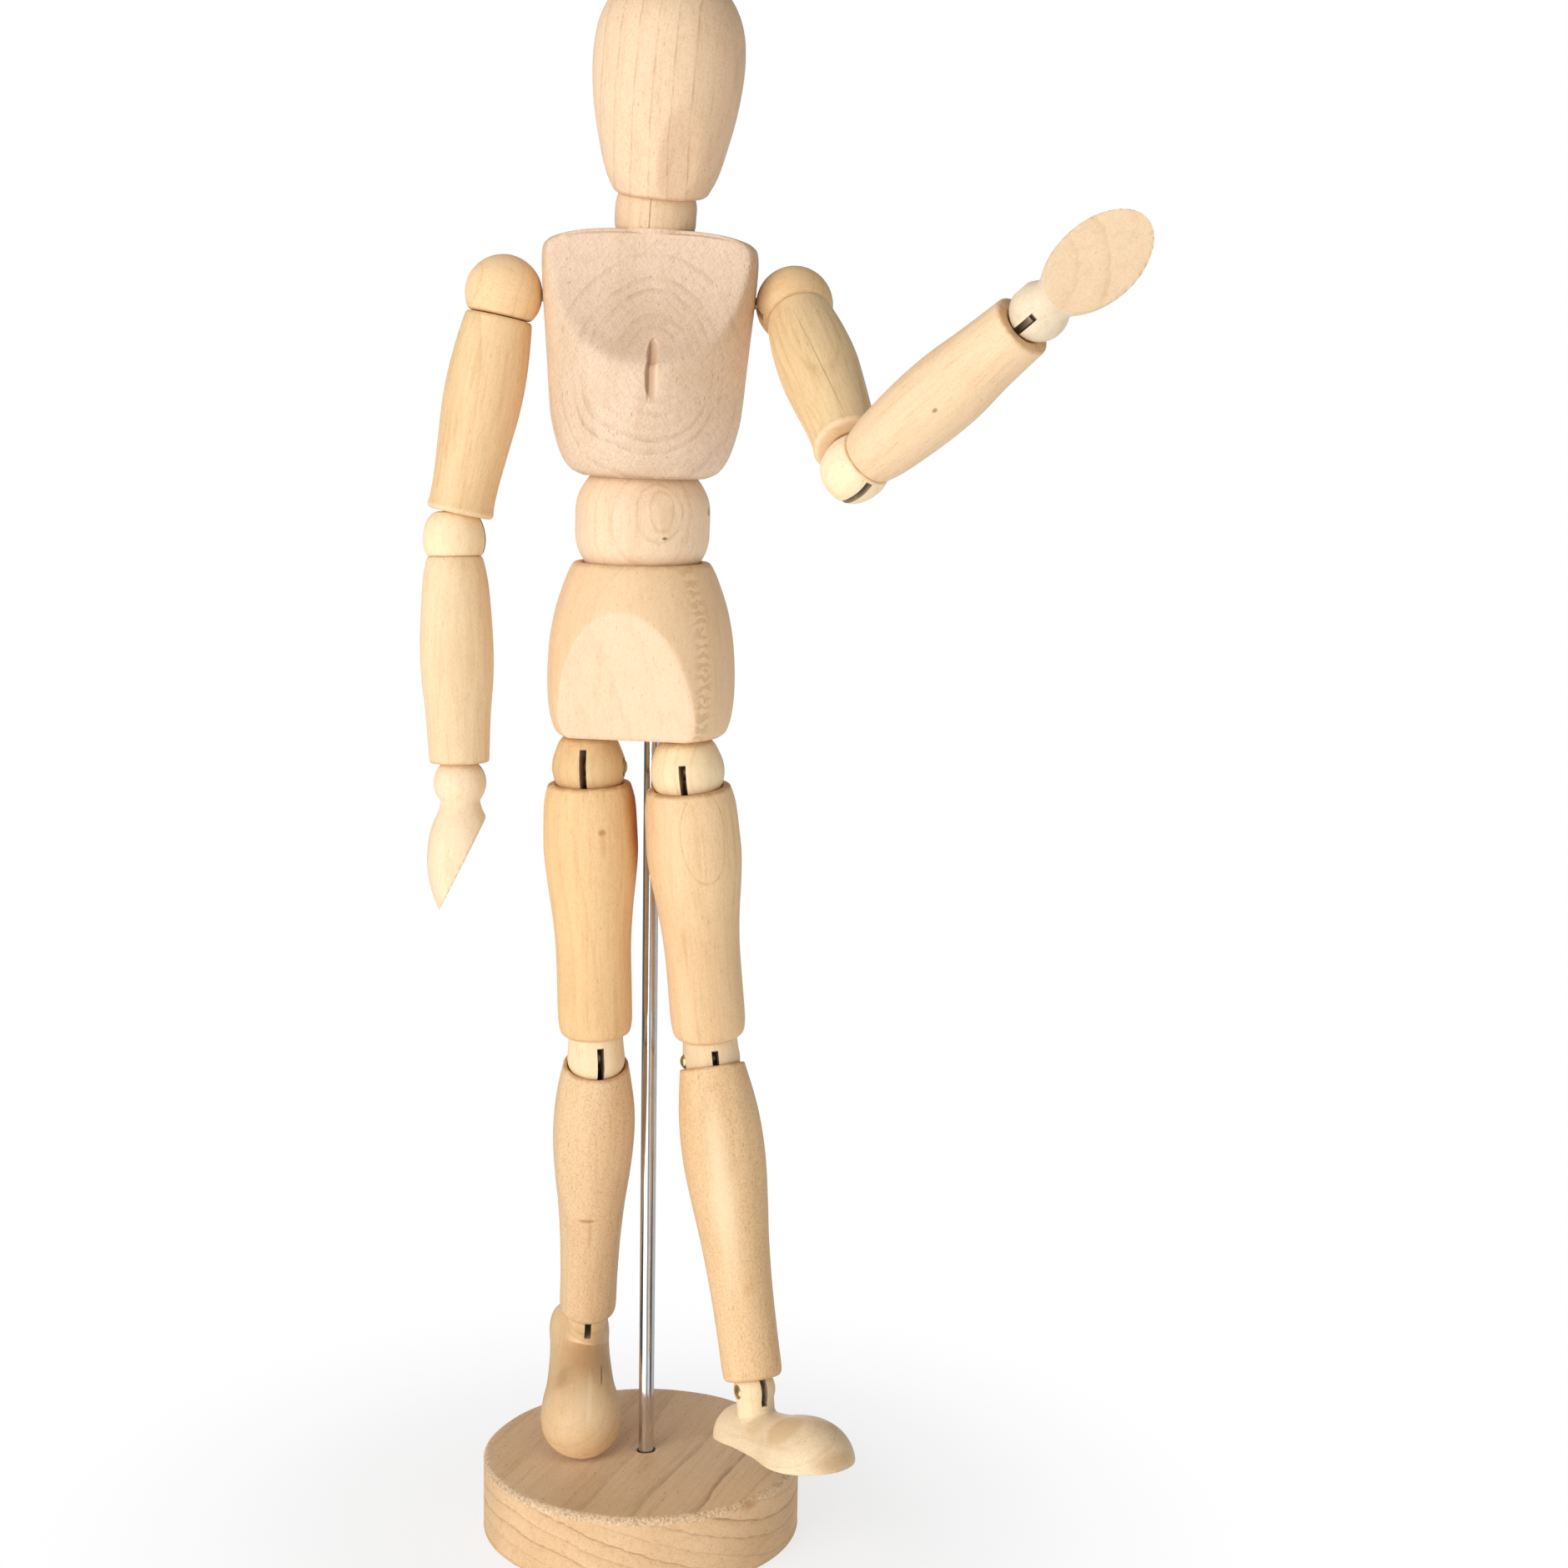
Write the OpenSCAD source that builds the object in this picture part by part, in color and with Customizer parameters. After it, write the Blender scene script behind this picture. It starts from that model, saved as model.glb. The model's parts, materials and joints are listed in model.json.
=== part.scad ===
// Jointed wooden drawing mannequin on a round stand, shown in a waving pose.
// All sizes in millimetres, +Z up, origin at the centre of the stand's underside.
// The figure faces -Y. "right" and "left" are the figure's own sides.

/* [Stand] */
// diameter of the round wooden base
base_d = 63; // [50:0.5:90]
// thickness of the round wooden base
base_t = 14.9; // [8:0.1:25]
// bevel sanded on the upper edge of the base
base_bevel = 0.9; // [0.2:0.1:3]
// diameter of the steel support rod
rod_d = 3; // [2:0.1:5]
// sideways offset of the rod hole from the centre of the base
rod_x = 0.87; // [-3:0.01:3]
// distance of the rod behind the axis of the pelvis
rod_back = 8.8; // [5:0.1:12]

/* [Trunk] */
// height of the underside of the pelvis above the table
pelvis_z = 161; // [140:0.5:200]
// height of the pelvis
pelvis_h = 32.3; // [25:0.1:40]
// greatest diameter of the pelvis
pelvis_d = 35.1; // [28:0.1:42]
// greatest diameter of the waist bead
waist_d = 25; // [18:0.1:32]
// height of the waist bead's centre above the pelvis underside
waist_z = 39.6; // [35:0.1:45]
// height of the chest's underside above the waist bead's centre
chest_z = 8.5; // [7.5:0.1:10]
// height of the chest along its axis
chest_h = 44.6; // [38:0.1:55]
// greatest diameter of the chest
chest_d = 39.6; // [32:0.1:48]
// diameter of the neck
neck_d = 14.9; // [12:0.1:18]
// sideways offset of the neck from the chest axis
neck_x = 0.7; // [-2:0.1:2]
// height of the neck's centre above the chest's underside
neck_z = 47.4; // [44:0.1:52]
// height of the head above the neck's centre
head_h = 43.4; // [36:0.1:52]
// sideways offset of the head's axis from its peg
head_x = 0.6; // [-0.8:0.1:0.8]
// greatest diameter of the head
head_d = 27.3; // [22:0.1:34]

/* [Arms] */
// distance of the shoulder centre from the chest axis
shoulder_x = 26.6; // [24:0.1:32]
// height of the shoulder centre above the chest's underside
shoulder_z = 32.2; // [26:0.1:38]
// diameter of the domed shoulder piece
shoulder_d = 14.2; // [12:0.1:17]
// shoulder centre to elbow centre
upper_arm_l = 46; // [40:0.1:55]
// greatest diameter of the upper arm
upper_arm_d = 14.5; // [11:0.1:18]
// elbow centre to wrist centre
forearm_l = 45; // [38:0.1:55]
// greatest diameter of the forearm
forearm_d = 13.6; // [10:0.1:17]
// diameter of the elbow bead
elbow_d = 11.6; // [9.5:0.1:12.5]
// diameter of the wrist ball
wrist_d = 9.8; // [8.4:0.1:10.2]

/* [Legs] */
// sideways distance of each hip from the pelvis axis
hip_x = 9.53; // [8:0.01:12]
// forward distance of each hip from the pelvis axis
hip_y = 1.93; // [0:0.01:4]
// diameter of the hip ball
hip_d = 13.9; // [12:0.1:14.2]
// hip centre to knee centre
thigh_l = 56.75; // [50:0.05:65]
// greatest diameter of the thigh
thigh_d = 17.9; // [15:0.1:19]
// knee centre to ankle centre
shin_l = 63; // [55:0.1:70]
// greatest diameter of the shin
shin_d = 15.9; // [13:0.1:18]
// diameter of the knee ball
knee_d = 11.1; // [9.5:0.1:11.2]
// diameter of the ankle ball
ankle_d = 8; // [7:0.1:8.2]
// greatest width of the foot
foot_w = 16.2; // [13:0.1:20]
// sideways offset of the right foot from its ankle peg
r_foot_x = -1.3; // [-2:0.1:2]
// sideways offset of the left foot from its ankle peg
l_foot_x = 0.5; // [-2:0.1:2]
// length of the heel behind the ankle
heel = 10; // [8:0.1:12]

/* [Joint hardware] */
// thickness of the flat steel links
link_t = 1; // [0.8:0.05:1.2]
// width of the saw slots the links swing in
slot_w = 1.24; // [1.1:0.02:1.6]
// diameter of the brass joint pins
pin_d = 1.6; // [1.2:0.1:2]
// diametral play of a turning fit
play = 0.1; // [0.04:0.01:0.2]
// diametral play of a glued or driven fit
glue = 0.04; // [0.02:0.01:0.1]
// gap between a ball and its socket
gap = 0.3; // [0.2:0.05:0.5]

/* [Pose of the trunk] */
// turn of the figure on the rod
fig_turn = -14; // [-180:0.5:180]
// sideways lean at the waist
lean = 1.3; // [-10:0.1:10]
// turn of the chest on the waist
chest_turn = 12; // [-45:0.5:45]
// forward nod of the neck
nod = 10; // [-15:0.5:25]
// sideways set of the neck
head_lean = 2.5; // [-10:0.1:10]
// turn of the head
head_turn = -3; // [-80:0.5:80]

/* [Pose of the right limbs] */
// forward swing of the right shoulder
r_swing = 2.6; // [-45:0.1:150]
// sideways raise of the right arm
r_raise = 10; // [0:0.01:90]
// twist of the right upper arm
r_twist = 88; // [-90:0.5:90]
// bend of the right elbow
r_elbow = 12.67; // [0:0.01:90]
// turn of the right wrist
r_wrist_turn = 5; // [-180:0.5:180]
// sideways set of the right hip peg
r_splay = -1.5; // [-5:0.01:8]
// turn of the right hip
r_hip_turn = 5.5; // [-30:0.5:30]
// forward bend of the right hip
r_hip_bend = -1.3; // [-10:0.01:60]
// angle at which the right knee peg is glued in
r_knee_set = 19.4; // [-30:0.01:30]
// backward bend of the right knee
r_knee_bend = 17.7; // [-30:0.01:50]
// turn of the right ankle
r_ankle_turn = -8.2; // [-60:0.5:60]
// downward bend of the right foot
r_ankle_bend = 11; // [-40:0.1:40]

/* [Pose of the left limbs] */
// forward swing of the left shoulder
l_swing = 51.4; // [-45:0.01:150]
// sideways raise of the left arm
l_raise = 13.9; // [0:0.01:90]
// twist of the left upper arm
l_twist = 35.8; // [-90:0.01:90]
// bend of the left elbow
l_elbow = 79.3; // [0:0.01:95]
// turn of the left wrist
l_wrist_turn = -140; // [-180:0.5:180]
// bend of the left wrist
l_wrist_bend = 11; // [-45:0.01:45]
// sideways set of the left hip peg
l_splay = 4.7; // [-5:0.01:8]
// turn of the left hip
l_hip_turn = 5.5; // [-30:0.5:30]
// forward bend of the left hip
l_hip_bend = -5.05; // [-10:0.01:60]
// angle at which the left knee peg is glued in
l_knee_set = 17; // [-30:0.01:30]
// backward bend of the left knee
l_knee_bend = -18.3; // [-30:0.01:50]
// turn of the left ankle
l_ankle_turn = 20; // [-60:0.5:60]
// downward bend of the left foot
l_ankle_bend = 7; // [-40:0.1:40]

/* [Hidden] */
$fn = 64;
pr = pin_d / 2;
strip_w = 2.8;
strip_bore = 1.5;
hip_drop = 6.4;
wood = [0.87, 0.72, 0.52];
pale = [0.93, 0.82, 0.63];
steel = [0.72, 0.73, 0.75];
brass = [0.78, 0.62, 0.30];
waist_r = waist_d / 2 + 0.5;
neck_r = neck_d / 2 + 0.3;
cap_r = shoulder_d / 2;
elbow_up = 5.6;
elbow_dn = 2.8;
wrist_up = 3.8;
hip_dn = 3.1;
knee_up = 4.5;
knee_dn = 1.45;
ankle_up = 2;
sole = 10.3;
pin_spread = 2.6;

// smooth curve through a few control points [radius, height]
function mix4(a, b, c, d, t) = 0.5 * (2 * b + (c - a) * t + (2 * a - 5 * b + 4 * c - d) * t * t + (3 * b - a - 3 * c + d) * t * t * t);
function curve(p, n) = concat(
  [for (i = [0 : len(p) - 2]) for (k = [0 : n - 1])
    mix4(p[max(i - 1, 0)], p[i], p[i + 1], p[min(i + 2, len(p) - 1)], k / n)],
  [p[len(p) - 1]]);
// solid turned on the Z axis from such a curve
module turned(p, n = 2) {
  rotate([0, 0, 40]) rotate_extrude($fn = 72) polygon(concat([[0, p[0][1]]], curve(p, n), [[0, p[len(p) - 1][1]]]));
}
module ball(r) { sphere(r = r, $fn = 72); }

// ---- frames of the posed figure ----
module at_pelvis() { translate([rod_x, 0, pelvis_z]) rotate([0, 0, fig_turn]) translate([0, -rod_back, 0]) children(); }
module at_waist() { at_pelvis() translate([0, 0, waist_z - pin_spread]) rotate([0, lean, 0]) translate([0, 0, pin_spread]) children(); }
module at_chest() { at_waist() rotate([0, 0, chest_turn]) translate([0, 0, chest_z]) children(); }
module at_neck_link() { at_chest() translate([neck_x, 0, neck_z]) rotate([0, head_lean, 0]) children(); }
module at_neck() { at_neck_link() rotate([nod, 0, 0]) children(); }
module at_head() { at_neck() rotate([0, 0, head_turn]) children(); }
module at_shoulder_link(s) { at_chest() translate([s * shoulder_x, 0, shoulder_z]) rotate([s < 0 ? -r_swing : -l_swing, 0, 0]) children(); }
module at_shoulder(s) { at_shoulder_link(s) rotate([0, s < 0 ? r_raise : -l_raise, 0]) children(); }
module at_upper_arm(s) { at_shoulder(s) rotate([0, 0, s < 0 ? r_twist : l_twist]) children(); }
module at_forearm(s) { at_upper_arm(s) translate([0, 0, -upper_arm_l]) rotate([s < 0 ? -r_elbow : -l_elbow, 0, 0]) children(); }
module at_wrist_link(s) { at_forearm(s) translate([0, 0, -forearm_l]) rotate([0, 0, s < 0 ? r_wrist_turn : l_wrist_turn]) children(); }
module at_hand(s) { at_wrist_link(s) rotate([s < 0 ? 0 : -l_wrist_bend, 0, 0]) children(); }
module hip_place(s) { translate([s * hip_x, -hip_y, -hip_drop]) rotate([0, s < 0 ? r_splay : -l_splay, 0]) children(); }
module at_hip(s) { at_pelvis() hip_place(s) rotate([0, 0, s < 0 ? r_hip_turn : l_hip_turn]) children(); }
module at_thigh(s) { at_hip(s) rotate([s < 0 ? -r_hip_bend : -l_hip_bend, 0, 0]) children(); }
module at_knee(s) { at_thigh(s) translate([0, 0, -thigh_l]) rotate([0, 0, s < 0 ? r_knee_set : l_knee_set]) children(); }
module at_shin(s) { at_knee(s) rotate([s < 0 ? r_knee_bend : l_knee_bend, 0, 0]) children(); }
module at_ankle_link(s) { at_shin(s) translate([0, 0, -shin_l]) rotate([0, 0, s < 0 ? r_ankle_turn : l_ankle_turn]) children(); }
module at_foot(s) { at_ankle_link(s) rotate([s < 0 ? r_ankle_bend : l_ankle_bend, 0, 0]) children(); }

// ---- shared hardware, drawn with the pin along X and the link running along +Z ----
// driven pin with a low domed head at +X, head face at x = reach
module pin_solid(reach, tail, head_r = 1.7) {
  rotate([0, 90, 0]) translate([0, 0, -tail]) cylinder(r = pr, h = tail + reach - 0.9);
  translate([reach - 1, 0, 0]) rotate([0, 90, 0]) intersection() {
    translate([0, 0, -1.3]) ball(2.3);
    cylinder(r = head_r, h = 2);
  }
}
// hole for that pin: driven fit in the wood, counterbore for the head
module pin_hole(reach, tail, head_r = 1.7) {
  rotate([0, 90, 0]) {
    translate([0, 0, -tail - 0.1]) cylinder(r = pr + glue / 2, h = tail + 12);
    translate([0, 0, reach - 1]) cylinder(r = head_r + 0.2, h = 12);
  }
}
// flat link with an eye, driven into a round bore at its far end
module flat_link(reach, eye_r = 2.1) {
  difference() {
    union() {
      translate([-link_t / 2, 0, 0]) rotate([0, 90, 0]) cylinder(r = eye_r, h = link_t);
      translate([-link_t / 2, -strip_w / 2, 0]) cube([link_t, strip_w, reach]);
    }
    translate([-link_t, 0, 0]) rotate([0, 90, 0]) cylinder(r = pr + play / 2, h = 2 * link_t);
  }
}
// flat link with an eye that ends in a round shank the limb turns on
module swivel_link(flat_l, reach, eye_r = 1.9, w = 2.2, shank_r = 1.2) {
  difference() {
    union() {
      translate([-link_t / 2, 0, 0]) rotate([0, 90, 0]) cylinder(r = eye_r, h = link_t);
      translate([-link_t / 2, -w / 2, 0]) cube([link_t, w, flat_l + 0.5]);
      translate([0, 0, flat_l]) cylinder(r = shank_r, h = reach - flat_l);
    }
    translate([-link_t, 0, 0]) rotate([0, 90, 0]) cylinder(r = pr + play / 2, h = 2 * link_t);
  }
}
// saw slot across X, open upward from height lo and through in Y, with a pocket for the eye
module up_slot(lo, hi, eye_r = 2.1, span = 12) {
  translate([-slot_w / 2, -span, lo]) cube([slot_w, 2 * span, hi - lo]);
  translate([-slot_w / 2, 0, 0]) rotate([0, 90, 0]) cylinder(r = eye_r + gap, h = slot_w);
}

// ---- stand ----
module base() {
  color(wood) difference() {
    rotate_extrude($fn = 96) polygon([[0, 0], [base_d / 2 - 0.5, 0], [base_d / 2, 0.5], [base_d / 2, base_t - base_bevel], [base_d / 2 - base_bevel, base_t], [0, base_t]]);
    translate([rod_x, 0, base_t - 12]) cylinder(d = rod_d + glue, h = 13);
  }
}
module support_rod() {
  color(steel) translate([rod_x, 0, base_t - 12]) rotate_extrude()
    polygon([[0, 0], [rod_d / 2 - 0.3, 0], [rod_d / 2, 0.3], [rod_d / 2, pelvis_z - base_t + 29.7], [rod_d / 2 - 0.3, pelvis_z - base_t + 30], [0, pelvis_z - base_t + 30]]);
}

// ---- trunk ----
module pelvis() {
  r = pelvis_d / 2; h = pelvis_h;
  color(wood) at_pelvis() difference() {
    turned([[0.86 * r, 0], [0.915 * r, 0.025 * h], [0.96 * r, 0.09 * h], [0.992 * r, 0.2 * h], [r, 0.36 * h], [0.982 * r, 0.53 * h], [0.945 * r, 0.66 * h], [0.89 * r, 0.78 * h], [0.79 * r, 0.93 * h], [0.72 * r, h]]);
    // flat sanded on the front, leaning in toward the bottom
    translate([0, -10.2, 0]) rotate([13.8, 0, 0]) translate([-30, -30, -10]) cube([60, 30, 60]);
    translate([0, 0, waist_z]) ball(waist_r + 0.5);
    // bore for the lower waist link, hip peg bores, rod bore
    translate([0, 0, waist_z - 25]) cylinder(r = strip_bore, h = 20);
    for (s = [-1, 1]) hip_place(s) translate([0, 0, 2]) cylinder(r = 2.2 + play / 2, h = 14.5);
    translate([0, rod_back, -1]) cylinder(d = rod_d + play, h = 19.5);
  }
}
module waist() {
  color(wood) at_waist() difference() {
    intersection() {
      ball(waist_r);
      translate([0, 0, -10.5]) cylinder(d = waist_d, h = 21, $fn = 72);
    }
    // lower slot lies across Y, upper slot across X
    translate([-4.6, -slot_w / 2, -12]) cube([9.2, slot_w, 12 - pin_spread]);
    translate([0, slot_w / 2, -pin_spread]) rotate([90, 0, 0]) cylinder(r = 2.3, h = slot_w);
    translate([-slot_w / 2, -4.6, pin_spread]) cube([slot_w, 9.2, 12 - pin_spread]);
    translate([-slot_w / 2, 0, pin_spread]) rotate([0, 90, 0]) cylinder(r = 2.3, h = slot_w);
    translate([0, 13, -pin_spread]) rotate([90, 0, 0]) cylinder(r = pr + glue / 2, h = 19.1);
    translate([-6.1, 0, pin_spread]) rotate([0, 90, 0]) cylinder(r = pr + glue / 2, h = 19.1);
  }
}
module waist_pins() {
  color(brass) at_waist() {
    translate([0, 11.6, -pin_spread]) rotate([90, 0, 0]) cylinder(r = pr, h = 17.6);
    translate([-6, 0, pin_spread]) rotate([0, 90, 0]) cylinder(r = pr, h = 17.6);
  }
}
module waist_link_lower() {
  color(steel) at_pelvis() translate([0, 0, waist_z - pin_spread]) rotate([180, 0, 90]) flat_link(21, 1.9);
}
module waist_link_upper() {
  color(steel) at_waist() translate([0, 0, pin_spread]) swivel_link(12.2, 22, 1.9, 2.4, 1.3);
}
module chest() {
  r = chest_d / 2; h = chest_h;
  color(wood) at_chest() difference() {
    // rounded shoulders and a nearly flat top
    turned([[11.4, 0], [13.7, 1.1], [0.79 * r, 4], [0.87 * r, 9.2], [0.9 * r, 13.4], [0.93 * r, 20.3], [0.962 * r, 27.7], [0.988 * r, 34], [r, 38.8], [0.985 * r, h - 3.3], [0.94 * r, h - 2.3], [0.885 * r, h - 1.7], [0.76 * r, h - 0.95], [0.62 * r, h - 0.45], [0.4 * r, h - 0.12], [0, h]]);
    // hollow sanded on the upper front
    translate([-30, -46.8, 48.8]) rotate([0, 90, 0]) cylinder(r = 40.2, h = 60, $fn = 144);
    translate([0, 0, -chest_z]) ball(waist_r + 0.5);
    translate([neck_x, 0, neck_z]) ball(neck_r + 0.25);
    // cross bore both shoulder links turn in
    translate([-25, 0, shoulder_z]) rotate([0, 90, 0]) cylinder(r = 1.2 + play / 2, h = 50);
    translate([0, 0, -1]) cylinder(r = 1.3 + play / 2, h = 19);
    translate([neck_x, 0, neck_z]) rotate([0, head_lean, 0]) translate([0, 0, -13]) cylinder(r = strip_bore, h = 10);
  }
}
module neck() {
  color(wood) at_neck() difference() {
    intersection() {
      ball(neck_r);
      translate([0, 0, -6.2]) cylinder(d = neck_d, h = 12.4, $fn = 72);
    }
    translate([-slot_w / 2, -4.4, -8]) cube([slot_w, 8.8, 8]);
    translate([-slot_w / 2, 0, 0]) rotate([0, 90, 0]) cylinder(r = 2.2, h = slot_w);
    translate([-5.1, 0, 0]) rotate([0, 90, 0]) cylinder(r = pr + glue / 2, h = 14);
    translate([0, 0, 2.6]) cylinder(r = 1.6 + glue / 2, h = 5);
  }
}
module neck_pin() {
  color(brass) at_neck() translate([-5, 0, 0]) rotate([0, 90, 0]) cylinder(r = pr, h = 12.2);
}
module neck_link() {
  color(steel) at_neck_link() rotate([180, 0, 0]) flat_link(12.5, 1.9);
}
module neck_peg() {
  color(steel) at_neck() translate([0, 0, 2.7]) cylinder(r = 1.6, h = 12.3);
}
module head() {
  r = head_d / 2; h = head_h;
  color(wood) at_head() difference() {
    translate([head_x, 0, 0]) difference() {
      turned([[7.9, 3.6], [8.6, 4.1], [9.15, 5.1], [0.735 * r, 0.16 * h], [0.81 * r, 0.235 * h], [0.925 * r, 0.39 * h], [0.985 * r, 0.52 * h], [r, 0.63 * h], [0.97 * r, 0.735 * h], [0.885 * r, 0.82 * h], [0.745 * r, 0.89 * h], [0.53 * r, 0.947 * h], [0.25 * r, 0.985 * h], [0, h]]);
      // two flats that meet in a blunt ridge down the face
      for (a = [-21, 21]) rotate([0, 0, a]) translate([0, -8.2, 2.6]) rotate([16, 0, 0]) translate([-20, -20, -8]) cube([40, 20, 60]);
    }
    ball(neck_r + 0.25);
    translate([0, 0, 2]) cylinder(r = 1.6 + play / 2, h = 13.4);
  }
}

// ---- arms ----
module shoulder_link(s) {
  color(steel) at_shoulder_link(s) rotate([0, -s * 90, 0]) rotate([0, 0, 90]) swivel_link(7.7, 20.5, 1.9, 2.2, 1.2);
}
module shoulder_pin(s) {
  color(brass) at_shoulder(s) rotate([0, 0, 90]) pin_solid(6.8, 5);
}
module shoulder(s) {
  color(wood) at_shoulder(s) difference() {
    union() {
      intersection() {
        ball(cap_r);
        translate([-10, -10, -4.1]) cube([20, 20, 20]);
      }
      translate([0, 0, -11]) cylinder(r = 2.2, h = 8);
    }
    // slot toward the chest and over the top
    translate([s < 0 ? -1.75 : -8, -slot_w / 2, -2.7]) cube([9.75, slot_w, 12]);
    translate([0, slot_w / 2, 0]) rotate([90, 0, 0]) cylinder(r = 2.2, h = slot_w);
    rotate([0, 0, 90]) pin_hole(6.8, 5);
  }
}
module upper_arm(s) {
  r = upper_arm_d / 2; b = -(upper_arm_l - elbow_up);
  color(wood) at_upper_arm(s) difference() {
    turned([[0.83 * r, b], [0.85 * r, b + 0.8], [0.825 * r, b + 2.4], [0.845 * r, 0.84 * b], [0.91 * r, 0.7 * b], [0.985 * r, 0.54 * b], [r, 0.42 * b], [0.965 * r, 0.29 * b], [0.895 * r, 0.17 * b], [0.845 * r, -4.4]]);
    translate([0, 0, -11.4]) cylinder(r = 2.2 + play / 2, h = 9);
    translate([0, 0, -upper_arm_l]) ball(elbow_d / 2 + gap);
    translate([0, 0, -upper_arm_l]) cylinder(r = strip_bore, h = 17);
  }
}
module elbow_link(s) {
  color(steel) at_upper_arm(s) translate([0, 0, -upper_arm_l]) flat_link(16.5, 1.9);
}
module elbow_pin(s) {
  color(brass) at_forearm(s) pin_solid(5.3, 4.4, 1.5);
}
module elbow(s) {
  color(pale) at_forearm(s) difference() {
    union() {
      intersection() {
        ball(elbow_d / 2);
        translate([-10, -10, -elbow_dn]) cube([20, 20, 20]);
      }
      translate([0, 0, -9]) cylinder(r = 2.2, h = 7);
    }
    up_slot(-2.2, 8, 1.9);
    pin_hole(5.3, 4.4, 1.5);
  }
}
module forearm(s) {
  r = forearm_d / 2; b = -(forearm_l - wrist_up);
  color(pale) at_forearm(s) difference() {
    turned([[0.79 * r, b], [0.82 * r, b + 0.6], [0.84 * r, 0.92 * b], [0.9 * r, 0.76 * b], [0.975 * r, 0.63 * b], [r, 0.52 * b], [0.98 * r, 0.38 * b], [0.9 * r, 0.2 * b], [0.8 * r, 0.1 * b], [0.72 * r, -elbow_dn]]);
    translate([0, 0, -9.3]) cylinder(r = 2.2 + glue / 2, h = 8);
    translate([0, 0, -forearm_l]) ball(wrist_d / 2 + gap);
    translate([0, 0, -forearm_l]) cylinder(r = 1.2 + play / 2, h = 17);
  }
}
module wrist_link(s) {
  color(steel) at_wrist_link(s) swivel_link(5.4, 16, 1.8, 2, 1.2);
}
module wrist_pin(s) {
  color(brass) at_hand(s) pin_solid(4.5, 3.6, 1.3);
}
module hand(s) {
  color(pale) at_hand(s) difference() {
    union() {
      ball(wrist_d / 2);
      turned([[3.2, -2.5], [3.75, -4], [4.2, -5.4], [5.05, -7.2], [5.95, -10], [6.4, -13.5], [6.3, -17], [5.75, -20], [5, -22.5], [4, -24.5], [2.5, -26.2], [0, -27]]);
    }
    // flat palm cut slantwise from the heel of the hand to the finger tip
    translate([0, -4.7, -6.7]) rotate([27.9, 0, 0]) translate([-15, -20, -40]) cube([30, 20, 40]);
    up_slot(-1.9, 8, 1.8, 9);
    pin_hole(4.5, 3.6, 1.3);
  }
}

// ---- legs ----
module hip(s) {
  color(pale) at_hip(s) difference() {
    union() {
      intersection() {
        ball(hip_d / 2);
        translate([-10, -10, -10]) cube([20, 20, 15.85]);
      }
      translate([0, 0, 4]) cylinder(r = 2.2, h = 12);
    }
    rotate([180, 0, 0]) up_slot(s < 0 ? -3.9 : -1.8, 9);
    mirror([s < 0 ? 0 : 1, 0, 0]) pin_hole(6.9, 5.4);
  }
}
module hip_pin(s) {
  color(brass) at_hip(s) mirror([s < 0 ? 0 : 1, 0, 0]) pin_solid(6.9, 5.4);
}
module hip_link(s) {
  color(steel) at_thigh(s) rotate([180, 0, 0]) flat_link(21);
}
module thigh(s) {
  r = thigh_d / 2; b = -(thigh_l - knee_up);
  color(wood) at_thigh(s) difference() {
    turned([[0.62 * r, b], [0.735 * r, b + 0.7], [0.785 * r, b + 2.4], [0.8 * r, 0.9 * b], [0.8 * r, 0.72 * b], [0.82 * r, 0.62 * b], [0.87 * r, 0.52 * b], [0.94 * r, 0.42 * b], [0.993 * r, 0.33 * b], [r, 0.26 * b], [0.965 * r, 0.13 * b], [0.87 * r, -hip_dn]]);
    ball(hip_d / 2 + gap);
    translate([0, 0, -22]) cylinder(r = strip_bore, h = 20);
    translate([0, 0, b - 1]) cylinder(r = 2.6 + glue / 2, h = 9.3);
  }
}
module knee(s) {
  color(pale) at_knee(s) difference() {
    union() {
      intersection() {
        ball(knee_d / 2);
        translate([-8, -8, -8]) cube([16, 16, 8 + knee_up]);
      }
      translate([0, 0, 2]) cylinder(r = 4.5, h = knee_up - 2);
      translate([0, 0, 2]) cylinder(r = 2.6, h = knee_up + 6);
    }
    rotate([180, 0, 0]) up_slot(-3, 8, 1.9);
    mirror([s < 0 ? 0 : 1, 0, 0]) pin_hole(5.5, 4.2, 1.5);
  }
}
module knee_pin(s) {
  color(brass) at_knee(s) mirror([s < 0 ? 0 : 1, 0, 0]) pin_solid(5.5, 4.2, 1.5);
}
module knee_link(s) {
  color(steel) at_shin(s) rotate([180, 0, 0]) flat_link(18, 1.9);
}
module shin(s) {
  r = shin_d / 2; b = -(shin_l - ankle_up);
  color(wood) at_shin(s) difference() {
    turned([[0.64 * r, b], [0.7 * r, b + 0.7], [0.718 * r, b + 2.6], [0.725 * r, 0.86 * b], [0.755 * r, 0.72 * b], [0.82 * r, 0.58 * b], [0.91 * r, 0.465 * b], [0.98 * r, 0.36 * b], [r, 0.27 * b], [0.97 * r, 0.18 * b], [0.89 * r, 0.1 * b], [0.79 * r, -knee_dn]]);
    ball(knee_d / 2 + gap);
    translate([0, 0, -19]) cylinder(r = strip_bore, h = 17);
    translate([0, 0, -shin_l]) ball(ankle_d / 2 + gap);
    translate([0, 0, -shin_l]) cylinder(r = 1.2 + play / 2, h = 16);
  }
}
module ankle_link(s) {
  color(steel) at_ankle_link(s) swivel_link(4.6, 15, 1.8, 2, 1.2);
}
module ankle_pin(s) {
  color(brass) at_foot(s) mirror([s < 0 ? 0 : 1, 0, 0]) pin_solid(4, 2.9, 1.2);
}
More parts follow.
